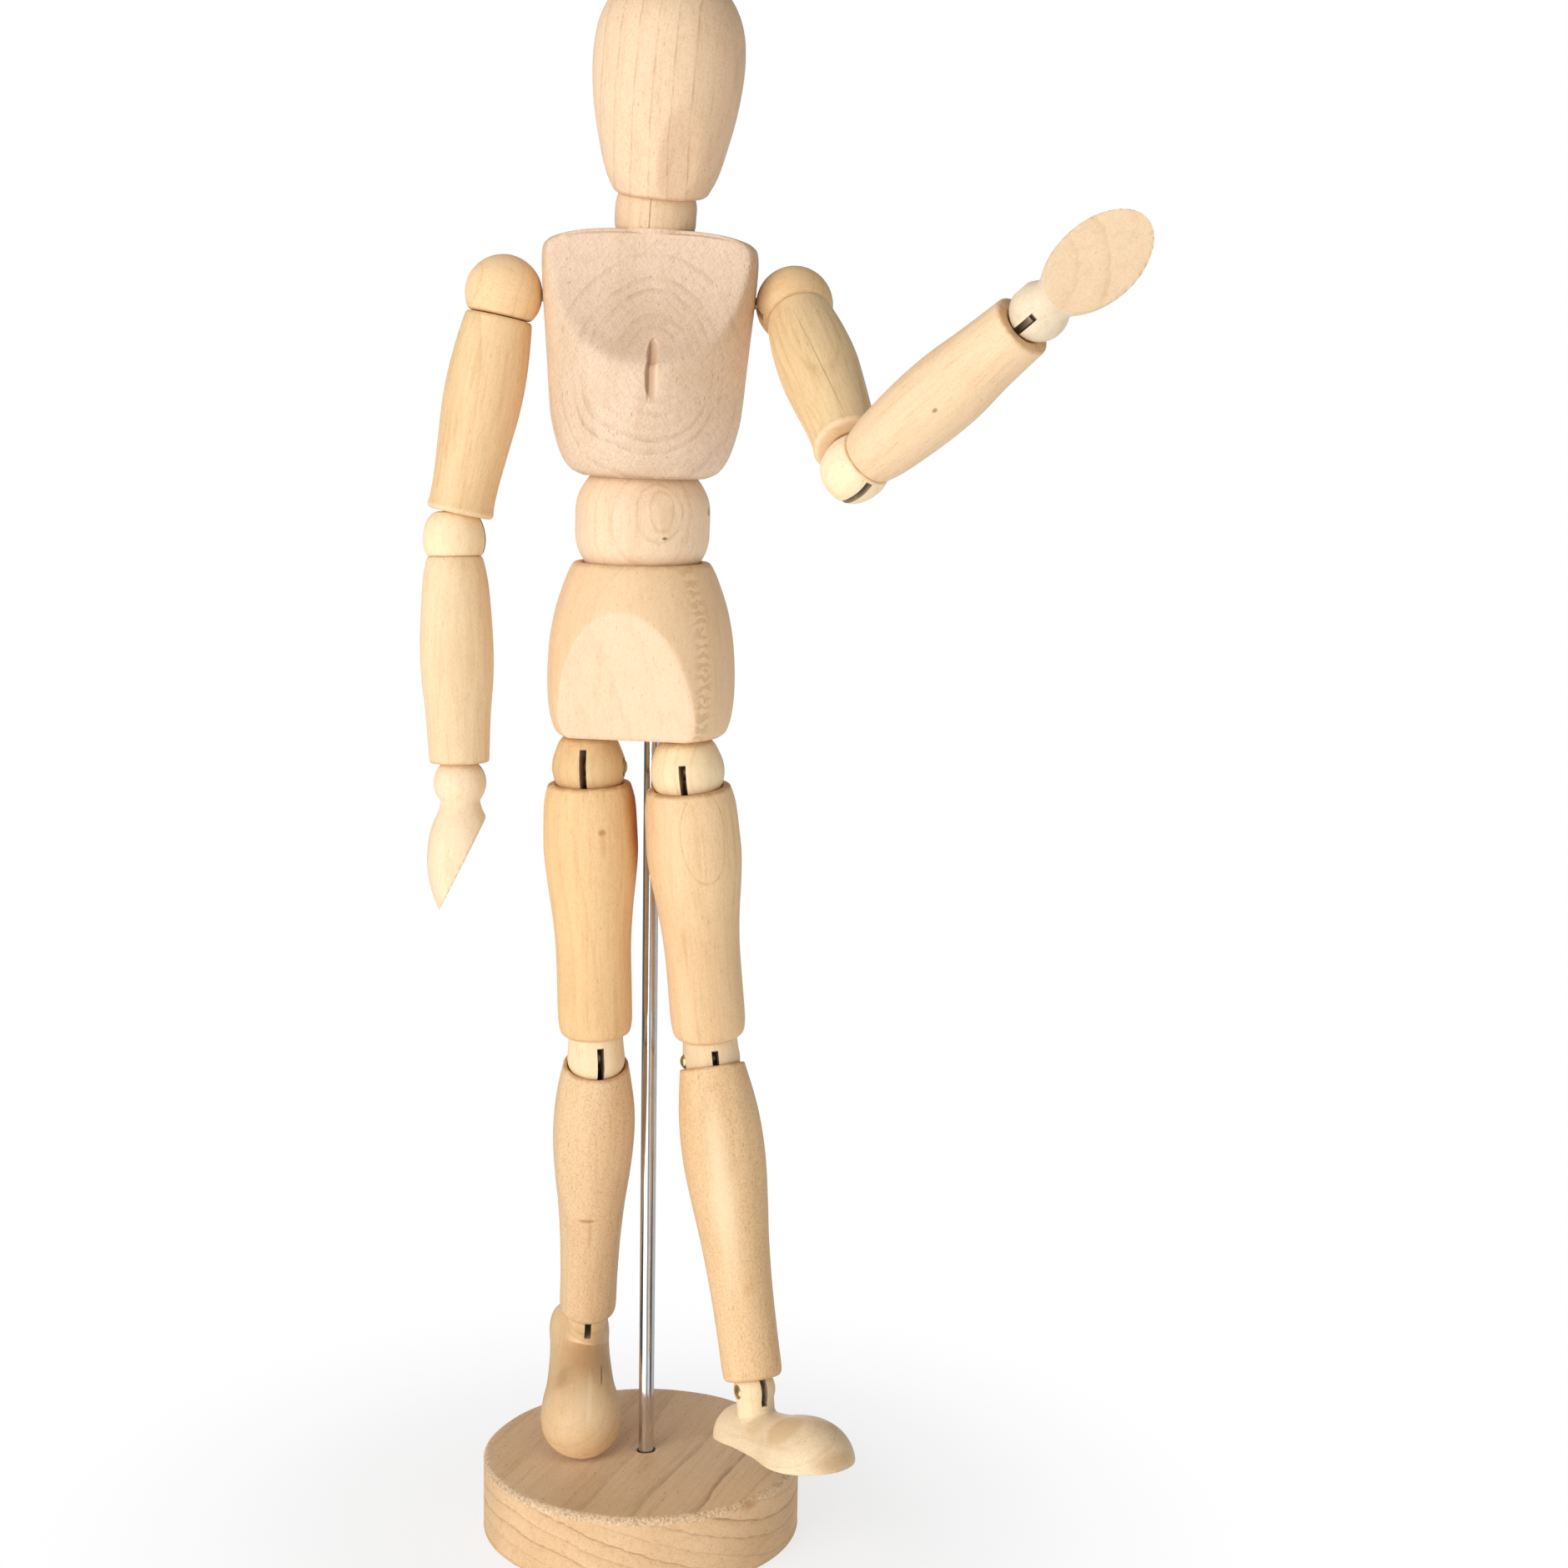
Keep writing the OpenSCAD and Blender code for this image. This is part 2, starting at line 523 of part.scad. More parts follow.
module ankle(s) {
  color(pale) at_foot(s) difference() {
    union() {
      ball(ankle_d / 2);
      translate([0, 0, -7]) cylinder(r = 3.6, h = 6);
    }
    up_slot(-2.7, 7, 1.8, 8);
    mirror([s < 0 ? 0 : 1, 0, 0]) pin_hole(4, 2.9, 1.2);
  }
}
module foot(s) {
  r = foot_w / 2;
  color(wood) at_foot(s) difference() {
    // half of a turned pear shape, flat side down
    translate([s < 0 ? r_foot_x : l_foot_x, 0, -sole]) rotate([90, 0, 0]) rotate_extrude(angle = 180, $fn = 72)
      polygon(concat([[0, -heel]], curve([[0.5 * r, -heel], [0.7 * r, 1.5 - heel], [0.765 * r, -5], [0.75 * r, -1.5], [0.77 * r, 3], [0.84 * r, 9], [0.95 * r, 13.5], [r, 17.5], [0.93 * r, 21.5], [0.71 * r, 24.7], [0.38 * r, 26.8], [0, 27.5]], 2)));
    translate([0, 0, -7.1]) cylinder(r = 3.6 + glue / 2, h = 8);
  }
}

base();
support_rod();
pelvis();
waist();
waist_pins();
waist_link_lower();
waist_link_upper();
chest();
neck();
neck_pin();
neck_link();
neck_peg();
head();
shoulder_link(-1);  // right_shoulder_link
shoulder_pin(-1);  // right_shoulder_pin
shoulder(-1);  // right_shoulder
upper_arm(-1);  // right_upper_arm
elbow_link(-1);  // right_elbow_link
elbow_pin(-1);  // right_elbow_pin
elbow(-1);  // right_elbow
forearm(-1);  // right_forearm
wrist_link(-1);  // right_wrist_link
wrist_pin(-1);  // right_wrist_pin
hand(-1);  // right_hand
shoulder_link(1);  // left_shoulder_link
shoulder_pin(1);  // left_shoulder_pin
shoulder(1);  // left_shoulder
upper_arm(1);  // left_upper_arm
elbow_link(1);  // left_elbow_link
elbow_pin(1);  // left_elbow_pin
elbow(1);  // left_elbow
forearm(1);  // left_forearm
wrist_link(1);  // left_wrist_link
wrist_pin(1);  // left_wrist_pin
hand(1);  // left_hand
hip(-1);  // right_hip
hip_pin(-1);  // right_hip_pin
hip_link(-1);  // right_hip_link
thigh(-1);  // right_thigh
knee(-1);  // right_knee
knee_pin(-1);  // right_knee_pin
knee_link(-1);  // right_knee_link
shin(-1);  // right_shin
ankle_link(-1);  // right_ankle_link
ankle_pin(-1);  // right_ankle_pin
ankle(-1);  // right_ankle
foot(-1);  // right_foot
hip(1);  // left_hip
hip_pin(1);  // left_hip_pin
hip_link(1);  // left_hip_link
thigh(1);  // left_thigh
knee(1);  // left_knee
knee_pin(1);  // left_knee_pin
knee_link(1);  // left_knee_link
shin(1);  // left_shin
ankle_link(1);  // left_ankle_link
ankle_pin(1);  // left_ankle_pin
ankle(1);  // left_ankle
foot(1);  // left_foot
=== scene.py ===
import json
import math
import bpy
import bmesh
import numpy as np
from mathutils import Matrix, Vector


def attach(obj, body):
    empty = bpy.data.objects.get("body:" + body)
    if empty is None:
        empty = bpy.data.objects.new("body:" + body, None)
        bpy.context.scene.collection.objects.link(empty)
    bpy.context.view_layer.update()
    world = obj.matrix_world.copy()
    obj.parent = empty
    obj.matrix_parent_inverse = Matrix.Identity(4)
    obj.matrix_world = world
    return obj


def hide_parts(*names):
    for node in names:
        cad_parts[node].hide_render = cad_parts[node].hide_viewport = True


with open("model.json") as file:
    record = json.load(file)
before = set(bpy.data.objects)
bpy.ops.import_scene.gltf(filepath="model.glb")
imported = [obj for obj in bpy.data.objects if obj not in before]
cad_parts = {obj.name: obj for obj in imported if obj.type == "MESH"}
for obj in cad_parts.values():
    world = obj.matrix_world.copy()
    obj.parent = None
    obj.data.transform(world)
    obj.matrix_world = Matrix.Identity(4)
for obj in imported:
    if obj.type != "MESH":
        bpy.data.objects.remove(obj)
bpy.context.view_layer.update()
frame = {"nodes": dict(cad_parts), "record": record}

scene = bpy.context.scene

# ------------------------------------------------------------------ measures, mm and degrees
base_d, base_t, base_bevel = 63.0, 14.9, 0.9
rod_d, rod_x, rod_back = 3.0, 0.87, 8.8
pelvis_z, pelvis_h, pelvis_d = 161.0, 32.3, 35.1
waist_d, waist_z, waist_r = 25.0, 39.6, 13.0
chest_z, chest_h, chest_d = 8.5, 44.6, 39.6
neck_d, neck_x, neck_z, neck_r = 14.9, 0.7, 47.4, 7.75
head_h, head_x, head_d = 43.4, 0.6, 27.3
shoulder_x, shoulder_z, cap_r = 26.6, 32.2, 7.1
upper_arm_l, upper_arm_d, forearm_l, forearm_d = 46.0, 14.5, 45.0, 13.6
elbow_r, elbow_up, elbow_dn, wrist_r, wrist_up = 5.8, 5.6, 2.8, 4.9, 3.8
hip_x, hip_y, hip_drop, hip_r, hip_dn = 9.53, 1.93, 6.4, 6.95, 3.1
thigh_l, thigh_d, shin_l, shin_d = 56.75, 17.9, 63.0, 15.9
knee_r, knee_up, knee_dn, ankle_r, ankle_up = 5.55, 4.5, 1.45, 4.0, 2.0
foot_w, heel, sole = 16.2, 10.0, 10.3
slot_w, pin_spread = 1.24, 2.6
fig_turn, lean, chest_turn, nod, head_lean, head_turn = -14.0, 1.3, 12.0, 10.0, 2.5, -3.0
POSE = {
    "right": dict(s=-1, swing=2.6, raise_=10.0, twist=88.0, elbow=12.67, wrist_turn=5.0, wrist_bend=0.0,
                  splay=-1.5, hip_turn=5.5, hip_bend=-1.3, knee_set=19.4, knee=17.7, ankle_turn=-8.2, ankle=11.0, foot_x=-1.3),
    "left": dict(s=1, swing=51.4, raise_=13.9, twist=35.8, elbow=79.3, wrist_turn=-140.0, wrist_bend=11.0,
                 splay=4.7, hip_turn=5.5, hip_bend=-5.05, knee_set=17.0, knee=-18.3, ankle_turn=20.0, ankle=7.0, foot_x=0.5),
}


def T(x=0.0, y=0.0, z=0.0):
    return Matrix.Translation((x, y, z))


def R(axis, deg):
    return Matrix.Rotation(math.radians(deg), 4, axis)


# ------------------------------------------------------------------ frames of the posed figure
F = {"base": Matrix.Identity(4)}
F["pelvis"] = T(rod_x, 0, pelvis_z) @ R("Z", fig_turn) @ T(0, -rod_back, 0)
F["waist"] = F["pelvis"] @ T(0, 0, waist_z - pin_spread) @ R("Y", lean) @ T(0, 0, pin_spread)
F["chest"] = F["waist"] @ R("Z", chest_turn) @ T(0, 0, chest_z)
F["neck"] = F["chest"] @ T(neck_x, 0, neck_z) @ R("Y", head_lean) @ R("X", nod)
F["head"] = F["neck"] @ R("Z", head_turn)
for side, p in POSE.items():
    s = p["s"]
    F[side + "_shoulder"] = F["chest"] @ T(s * shoulder_x, 0, shoulder_z) @ R("X", -p["swing"]) @ R("Y", -s * p["raise_"])
    F[side + "_upper_arm"] = F[side + "_shoulder"] @ R("Z", p["twist"])
    F[side + "_forearm"] = F[side + "_upper_arm"] @ T(0, 0, -upper_arm_l) @ R("X", -p["elbow"])
    F[side + "_elbow"] = F[side + "_forearm"]
    F[side + "_hand"] = F[side + "_forearm"] @ T(0, 0, -forearm_l) @ R("Z", p["wrist_turn"]) @ R("X", -p["wrist_bend"])
    F[side + "_hip"] = F["pelvis"] @ T(s * hip_x, -hip_y, -hip_drop) @ R("Y", -s * p["splay"]) @ R("Z", p["hip_turn"])
    F[side + "_thigh"] = F[side + "_hip"] @ R("X", -p["hip_bend"])
    F[side + "_knee"] = F[side + "_thigh"] @ T(0, 0, -thigh_l) @ R("Z", p["knee_set"])
    F[side + "_shin"] = F[side + "_knee"] @ R("X", p["knee"])
    F[side + "_foot"] = F[side + "_shin"] @ T(0, 0, -shin_l) @ R("Z", p["ankle_turn"]) @ R("X", p["ankle"])
    F[side + "_ankle"] = F[side + "_foot"]

BODY = {}
for body_name, members in frame["record"]["behaviour"]["bodies"].items():
    for member in members:
        BODY[member] = body_name


# ------------------------------------------------------------------ shape helpers, all in mm
def curve(p, n=7):
    """Smooth curve through a few control points [radius, height]."""
    out = []
    for i in range(len(p) - 1):
        a, b, c, d = p[max(i - 1, 0)], p[i], p[i + 1], p[min(i + 2, len(p) - 1)]
        for k in range(n):
            t = k / n
            out.append([0.5 * (2 * b[j] + (c[j] - a[j]) * t + (2 * a[j] - 5 * b[j] + 4 * c[j] - d[j]) * t * t
                               + (3 * b[j] - a[j] - 3 * c[j] + d[j]) * t ** 3) for j in (0, 1)])
    out.append(list(p[-1]))
    return out


def arc(cz, radius, z0, z1, n=14):
    """Part of a sphere's outline, centre height cz, from height z0 to z1."""
    a0 = math.asin(max(-1.0, min(1.0, (z0 - cz) / radius)))
    a1 = math.asin(max(-1.0, min(1.0, (z1 - cz) / radius)))
    return [[radius * math.cos(a0 + (a1 - a0) * k / n), cz + radius * math.sin(a0 + (a1 - a0) * k / n)] for k in range(n + 1)]


def line(a, b, n=4):
    return [[a[0] + (b[0] - a[0]) * k / n, a[1] + (b[1] - a[1]) * k / n] for k in range(n + 1)]


def walk(points, start, step, length):
    """Point at a distance along a polyline from vertex start, going step = 1 or -1, with the last vertex passed."""
    i, left = start, length
    while 0 <= i + step < len(points):
        a, b = np.array(points[i], float), np.array(points[i + step], float)
        d = float(np.linalg.norm(b - a))
        if d >= left:
            return a + (b - a) * (left / d if d > 0 else 0.0), i
        left -= d
        i += step
    return np.array(points[i], float), i


def path(parts, rounds):
    """Joins outline parts; rounds[i] is the size of the soft corner after part i."""
    pts, corners = [], []
    for k, part in enumerate(parts):
        part = [list(map(float, q)) for q in part]
        if pts:
            r = rounds[k - 1]
            if math.dist(pts[-1], part[0]) < 1e-6:
                corners.append((len(pts) - 1, r))
                part = part[1:]
            else:
                corners.append((len(pts) - 1, r))
                corners.append((len(pts), r))
        pts += part
    for i, r in sorted(corners, reverse=True):
        if r <= 0 or i == 0 or i == len(pts) - 1:
            continue
        a, ia = walk(pts, i, -1, r)
        b, ib = walk(pts, i, 1, r)
        c = np.array(pts[i], float)
        soft = [list((1 - t) ** 2 * a + 2 * t * (1 - t) * c + t * t * b) for t in np.linspace(0, 1, 6)]
        pts = pts[:ia] + soft + pts[ib + 1:]
    clean = [pts[0]]
    for q in pts[1:]:
        if math.dist(q, clean[-1]) > 0.012:
            clean.append(q)
    return clean


def lumps(points, seed, size=9.0):
    """Slow smooth unevenness, about -1 to 1, so that no turned piece is perfectly round."""
    rng = np.random.default_rng(seed)
    total = np.zeros(len(points))
    for _ in range(7):
        k = rng.normal(size=3)
        k /= np.linalg.norm(k)
        total += np.sin(points @ (k * 2 * math.pi / (size * rng.uniform(0.7, 2.2))) + rng.uniform(0, 6.28))
    return total / 4.0


def turned_rows(profile, seg=112, seed=1, amp=0.035):
    rows = []
    th = np.linspace(0, 2 * math.pi, seg, endpoint=False)
    for r, z in profile:
        if r < 1e-4:
            rows.append(np.array([[0.0, 0.0, z]]))
            continue
        ring = np.c_[r * np.cos(th), r * np.sin(th), np.full(seg, z)]
        dr = amp * (lumps(ring, seed) - 0.6) * min(1.0, r / 4.0)
        rows.append(np.c_[(r + dr) * np.cos(th), (r + dr) * np.sin(th), np.full(seg, z)])
    return rows


def smin(a, b, k):
    h = np.clip(0.5 + 0.5 * (b - a) / k, 0, 1)
    return b * (1 - h) + a * h - k * h * (1 - h)


def loft(rows, closed=False):
    verts, spans, faces = [], [], []
    for r in rows:
        spans.append((len(verts), len(r)))
        verts.extend([tuple(q) for q in r])
    pairs = list(zip(spans, spans[1:])) + ([(spans[-1], spans[0])] if closed else [])
    for (a, na), (b, nb) in pairs:
        if na == 1 and nb == 1:
            continue
        if na == 1:
            faces += [(a, b + (k + 1) % nb, b + k) for k in range(nb)]
        elif nb == 1:
            faces += [(a + k, a + (k + 1) % na, b) for k in range(na)]
        else:
            faces += [(a + k, a + (k + 1) % na, b + (k + 1) % nb, b + k) for k in range(na)]
    return verts, faces


def mesh_object(name, verts, faces):
    me = bpy.data.meshes.new(name)
    me.from_pydata([(x * 0.001, y * 0.001, z * 0.001) for x, y, z in verts], [], faces)
    bm = bmesh.new()
    bm.from_mesh(me)
    bmesh.ops.recalc_face_normals(bm, faces=bm.faces)
    bm.to_mesh(me)
    bm.free()
    ob = bpy.data.objects.new(name, me)
    scene.collection.objects.link(ob)
    return ob


def saw_box(lo, hi, seed=3, rough=0.05, n=10):
    """Box whose two wide faces are slightly uneven, like a saw cut. The thin axis is found from the sizes."""
    lo, hi = np.array(lo, float), np.array(hi, float)
    thin = int(np.argmin(hi - lo))
    u, v = [a for a in range(3) if a != thin]
    verts, faces = [], []
    for side in (0, 1):
        for i in range(n + 1):
            for j in range(n + 1):
                q = np.zeros(3)
                q[u] = lo[u] + (hi[u] - lo[u]) * i / n
                q[v] = lo[v] + (hi[v] - lo[v]) * j / n
                q[thin] = hi[thin] if side else lo[thin]
                wob = float(lumps(q[None, :] * np.array([1, 1, 1]) + side * 31.0, seed, 2.6)[0])
                q[thin] += rough * (0.35 + 0.65 * abs(wob)) * (1 if side else -1)
                verts.append(tuple(q))
    m = (n + 1) ** 2
    for side in (0, 1):
        for i in range(n):
            for j in range(n):
                a = side * m + i * (n + 1) + j
                faces.append((a, a + 1, a + n + 2, a + n + 1))
    rim = [i * (n + 1) for i in range(n + 1)] + [n * (n + 1) + j for j in range(1, n + 1)] + \
          [i * (n + 1) + n for i in range(n - 1, -1, -1)] + [j for j in range(n - 1, 0, -1)]
    for k in range(len(rim)):
        a, b = rim[k], rim[(k + 1) % len(rim)]
        faces.append((a, b, m + b, m + a))
    return mesh_object("tool", verts, faces)


def drill(a, b, radius, seg=40):
    """Cylinder from point a to point b."""
    a, b = Vector(a), Vector(b)
    q = (b - a).to_track_quat("Z", "Y").to_matrix().to_4x4()
    h = (b - a).length
    rows = [np.array([[0, 0, 0.0]])]
    th = np.linspace(0, 2 * math.pi, seg, endpoint=False)
    for z in (0.0, h):
        rows.append(np.c_[radius * np.cos(th), radius * np.sin(th), np.full(seg, z)])
    rows.append(np.array([[0, 0, h]]))
    verts, faces = loft(rows)
    M = Matrix.Translation(a) @ q
    return mesh_object("tool", [tuple(M @ Vector(v)) for v in verts], faces)


def pebble(centre, radii, tilt=0.0, seg=32):
    """Ellipsoid, its long upright axis leaned toward +Y by tilt degrees."""
    rows = []
    th = np.linspace(0, 2 * math.pi, seg, endpoint=False)
    for a in np.linspace(-90, 90, 17):
        c, sn = math.cos(math.radians(a)), math.sin(math.radians(a))
        if c < 1e-6:
            rows.append(np.array([[0, 0, sn]]))
        else:
            rows.append(np.c_[c * np.cos(th), c * np.sin(th), np.full(seg, sn)])
    verts, faces = loft(rows)
    turn = np.array(R("X", -tilt).to_3x3())
    return mesh_object("tool", [tuple(turn @ (np.array(v) * radii) + np.array(centre)) for v in verts], faces)


def pin_tools(sign, axis, reach, tail, head_r):
    """Hole for a driven pin and its counterbore; axis 0 = X, 1 = Y; sign says which side has the head."""
    def at(v):
        q = [0.0, 0.0, 0.0]
        q[axis] = sign * v
        return q
    return [drill(at(-tail - 0.1), at(reach - 0.5), 0.82), drill(at(reach - 1.0), at(reach + 6.0), head_r + 0.18)]


def carve(ob, tools):
    for t in tools:
        m = ob.modifiers.new("cut", "BOOLEAN")
        m.operation, m.solver, m.object = "DIFFERENCE", "EXACT", t
    dg = bpy.context.evaluated_depsgraph_get()
    dg.update()
    me = bpy.data.meshes.new_from_object(ob.evaluated_get(dg))
    ob.modifiers.clear()
    old = ob.data
    ob.data = me
    bpy.data.meshes.remove(old)
    for t in tools:
        d = t.data
        bpy.data.objects.remove(t)
        bpy.data.meshes.remove(d)


def settle(ob, M, body, material, nodes=(), sharp=42.0):
    me = ob.data
    me.materials.clear()
    me.materials.append(material)
    me.shade_smooth()
    me.set_sharp_from_angle(angle=math.radians(sharp))
    m = M.copy()
    m.translation = m.translation * 0.001
    ob.matrix_world = m
    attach(ob, body)
    if nodes:
        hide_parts(*nodes)
    return ob


def piece(node, rows, material, tools=(), sharp=42.0, closed=False):
    verts, faces = loft(rows, closed)
    ob = mesh_object(node + "_shape", verts, faces)
    if tools:
        carve(ob, list(tools))
    return settle(ob, F[node], BODY[node], material, [node], sharp)


# ------------------------------------------------------------------ materials
def lin(c):
    return c / 12.92 if c <= 0.04045 else ((c + 0.055) / 1.055) ** 2.4


def rgb(r, g, b):
    return (lin(r / 255), lin(g / 255), lin(b / 255), 1.0)


class Net:
    """Short way to write a node tree."""

    def __init__(self, name):
        self.mat = bpy.data.materials.new(name)
        self.mat.use_nodes = True
        self.nt = self.mat.node_tree
        self.nt.nodes.clear()

    def node(self, kind, **props):
        nd = self.nt.nodes.new(kind)
        for k, v in props.items():
            setattr(nd, k, v)
        return nd

    def put(self, sock, v):
        if isinstance(v, bpy.types.NodeSocket):
            self.nt.links.new(v, sock)
        else:
            sock.default_value = v

    def math(self, op, a, b=None, clamp=False):
        nd = self.node("ShaderNodeMath", operation=op, use_clamp=clamp)
        self.put(nd.inputs[0], a)
        if b is not None:
            self.put(nd.inputs[1], b)
        return nd.outputs[0]

    def vec(self, op, a, b=None, scale=None):
        nd = self.node("ShaderNodeVectorMath", operation=op)
        self.put(nd.inputs[0], a)
        if b is not None:
            self.put(nd.inputs[1], b)
        if scale is not None:
            self.put(nd.inputs["Scale"], scale)
        return nd.outputs["Value"] if op in ("LENGTH", "DOT_PRODUCT", "DISTANCE") else nd.outputs["Vector"]

    def noise(self, v, scale, detail=2.0, rough=0.5, warp=0.0, color=False):
        nd = self.node("ShaderNodeTexNoise")
        self.put(nd.inputs["Vector"], v)
        nd.inputs["Scale"].default_value = scale
        nd.inputs["Detail"].default_value = detail
        nd.inputs["Roughness"].default_value = rough
        nd.inputs["Distortion"].default_value = warp
        return nd.outputs["Color"] if color else nd.outputs["Fac"]

    def ramp(self, fac, stops, mode="LINEAR"):
        nd = self.node("ShaderNodeValToRGB")
        nd.color_ramp.interpolation = mode
        e = nd.color_ramp.elements
        while len(e) < len(stops):
            e.new(0.5)
        for el, (pos, c) in zip(e, stops):
            el.position = pos
            el.color = c if isinstance(c, tuple) else (c, c, c, 1.0)
        self.put(nd.inputs["Fac"], fac)
        return nd.outputs["Color"]

    def mix(self, fac, a, b, blend="MIX"):
        nd = self.node("ShaderNodeMix", data_type="RGBA", blend_type=blend)
        self.put(nd.inputs[0], fac)
        self.put(nd.inputs[6], a)
        self.put(nd.inputs[7], b)
        return nd.outputs[2]

    def step(self, v, lo, hi, a=0.0, b=1.0):
        nd = self.node("ShaderNodeMapRange", interpolation_type="SMOOTHSTEP")
        self.put(nd.inputs[0], v)
        nd.inputs[1].default_value, nd.inputs[2].default_value = lo, hi
        nd.inputs[3].default_value, nd.inputs[4].default_value = a, b
        return nd.outputs[0]

    def split(self, v):
        nd = self.node("ShaderNodeSeparateXYZ")
        self.put(nd.inputs[0], v)
        return nd.outputs

    def join(self, x, y, z):
        nd = self.node("ShaderNodeCombineXYZ")
        for sock, v in zip(nd.inputs, (x, y, z)):
            self.put(sock, v)
        return nd.outputs[0]


def spot(g, P, centre, normal, up, wide, tall, deep=5.0):
    """0 at the centre of an oval lying on the surface, 1 on its edge."""
    n = Vector(normal).normalized()
    u = Vector(up)
    u = (u - n * u.dot(n)).normalized()
    r = u.cross(n)
    d = g.vec("SUBTRACT", P, centre)
    return g.vec("LENGTH", g.join(g.vec("DOT_PRODUCT", d, tuple(r / wide)), g.vec("DOT_PRODUCT", d, tuple(u / tall)),
                                  g.vec("DOT_PRODUCT", d, tuple(n / deep))))


def wood(name, tone, deep, seed, pith, axis=(0, 0, 1), period=2.4, phase=0.0, ring=0.5, warp=1.6, fibre=0.6,
         fleck=0.35, blotch=0.6, turn=(0, 0, 0), marks=(), rims=(), slot=None, rough=0.56, bump=0.55, speckle=0.25,
         line=0.1, broken=0.6, gap=0.8, vary=0.3, wide=1.0, only=None, over=None, slot_shade=(0.11, 0.065, 0.035, 1.0)):
    """Bare sanded hardwood: growth rings round a pith line, long fibres, pores, ray flecks, slow tone changes, soiled rims."""
    g = Net(name)
    tc = g.node("ShaderNodeTexCoord")
    P = g.vec("MULTIPLY", tc.outputs["Object"], (1000.0, 1000.0, 1000.0))
    Q = P
    if any(turn):
        mp = g.node("ShaderNodeMapping")
        mp.inputs["Rotation"].default_value = [math.radians(a) for a in turn]
        g.put(mp.inputs["Vector"], P)
        Q = mp.outputs["Vector"]
    S = g.vec("ADD", Q, (seed * 13.71, seed * 7.37, seed * 31.3))
    # the fibres wander slowly
    drift = g.vec("SUBTRACT", g.noise(g.vec("MULTIPLY", S, (1.0, 1.0, 0.35)), 0.045, 2.0, 0.5, 0.0, True), (0.5, 0.5, 0.5))
    W = g.vec("ADD", Q, g.vec("SCALE", drift, scale=warp * 2.0))
    # growth rings: a thin, broken, darker line at the end of each year
    a = Vector(axis).normalized()
    away = g.vec("LENGTH", g.vec("CROSS_PRODUCT", g.vec("MULTIPLY", g.vec("SUBTRACT", W, pith), (wide, 1.0, 1.0)), tuple(a)))
    fine_wave = g.math("MULTIPLY", g.math("SUBTRACT", g.noise(g.vec("MULTIPLY", S, (1.0, 1.0, 0.08)), 0.5, 3.0, 0.6), 0.5), 0.35)
    count = g.math("ADD", g.math("ADD", g.math("DIVIDE", away, period), phase), fine_wave)
    saw = g.math("FRACT", count)
    wn = g.node("ShaderNodeTexWhiteNoise", noise_dimensions="1D")
    g.put(wn.inputs["W"], g.math("ADD", g.math("FLOOR", count), seed * 3.17))
    each = g.step(wn.outputs["Value"], 0.0, 1.0, vary, 1.0)
    late = g.ramp(saw, [(0.0, 0.0), (0.5, 0.05), (1.0 - 2.4 * line, 0.22), (1.0 - 0.9 * line, 1.0), (0.98, 1.0), (1.0, 0.0)])
    gaps = g.step(g.noise(g.vec("MULTIPLY", S, (1.0, 1.0, 0.3)), gap, 3.0, 0.6), 0.32, 0.62, 1.0 - broken, 1.0)
    late = g.math("MULTIPLY", g.math("MULTIPLY", g.math("MULTIPLY", late, each), gaps), ring, True)
    if only is not None:
        late = g.math("MULTIPLY", late, only(g, P))
    col = g.mix(late, tone, deep)
    # slow changes of tone over the piece
    slow = g.noise(g.vec("MULTIPLY", S, (1.0, 1.0, 0.4)), 0.07, 3.0, 0.55)
    col = g.mix(blotch, col, g.ramp(slow, [(0.25, (0.84, 0.78, 0.70, 1.0)), (0.5, (1.0, 1.0, 1.0, 1.0)), (0.75, (1.06, 1.07, 1.10, 1.0))]), "MULTIPLY")
    # long fibres, coarse and fine
    coarse = g.noise(g.vec("MULTIPLY", g.vec("ADD", W, (seed * 5.3, seed * 2.9, seed)), (1.0, 1.0, 0.03)), 0.9, 5.0, 0.62, 0.25)
    col = g.mix(fibre, col, g.ramp(coarse, [(0.28, (0.84, 0.77, 0.68, 1.0)), (0.46, (0.97, 0.96, 0.94, 1.0)), (0.6, (1.0, 1.0, 1.0, 1.0)), (0.8, (1.04, 1.05, 1.07, 1.0))]), "MULTIPLY")
    thin = g.noise(g.vec("MULTIPLY", g.vec("ADD", Q, (seed * 1.7, seed * 8.3, seed * 2.0)), (1.0, 1.0, 0.07)), 3.6, 3.0, 0.6)
    col = g.mix(0.6 * fibre, col, g.ramp(thin, [(0.3, (0.86, 0.80, 0.72, 1.0)), (0.52, (1.0, 1.0, 1.0, 1.0)), (0.75, (1.03, 1.03, 1.04, 1.0))]), "MULTIPLY")
    # short dark pores and ray flecks
    vo = g.node("ShaderNodeTexVoronoi")
    g.put(vo.inputs["Vector"], g.vec("MULTIPLY", S, (1.0, 1.0, 0.22)))
    vo.inputs["Scale"].default_value = 1.25
    dash = g.math("MULTIPLY", g.step(vo.outputs["Distance"], 0.06, 0.2, 1.0, 0.0), g.step(g.split(vo.outputs["Color"])[0], 0.45, 0.75))
    col = g.mix(g.math("MULTIPLY", dash, fleck, True), col, g.mix(0.55, deep, (0.20, 0.105, 0.045, 1.0)))
    grit = g.noise(g.vec("MULTIPLY", S, (1.0, 1.0, 0.6)), 3.3, 3.0, 0.7)
    col = g.mix(speckle, col, g.ramp(grit, [(0.34, (0.80, 0.73, 0.64, 1.0)), (0.5, (1.0, 1.0, 1.0, 1.0)), (0.66, (1.07, 1.07, 1.08, 1.0))]), "MULTIPLY")
    if over is not None:
        col = over(g, P, S, col)
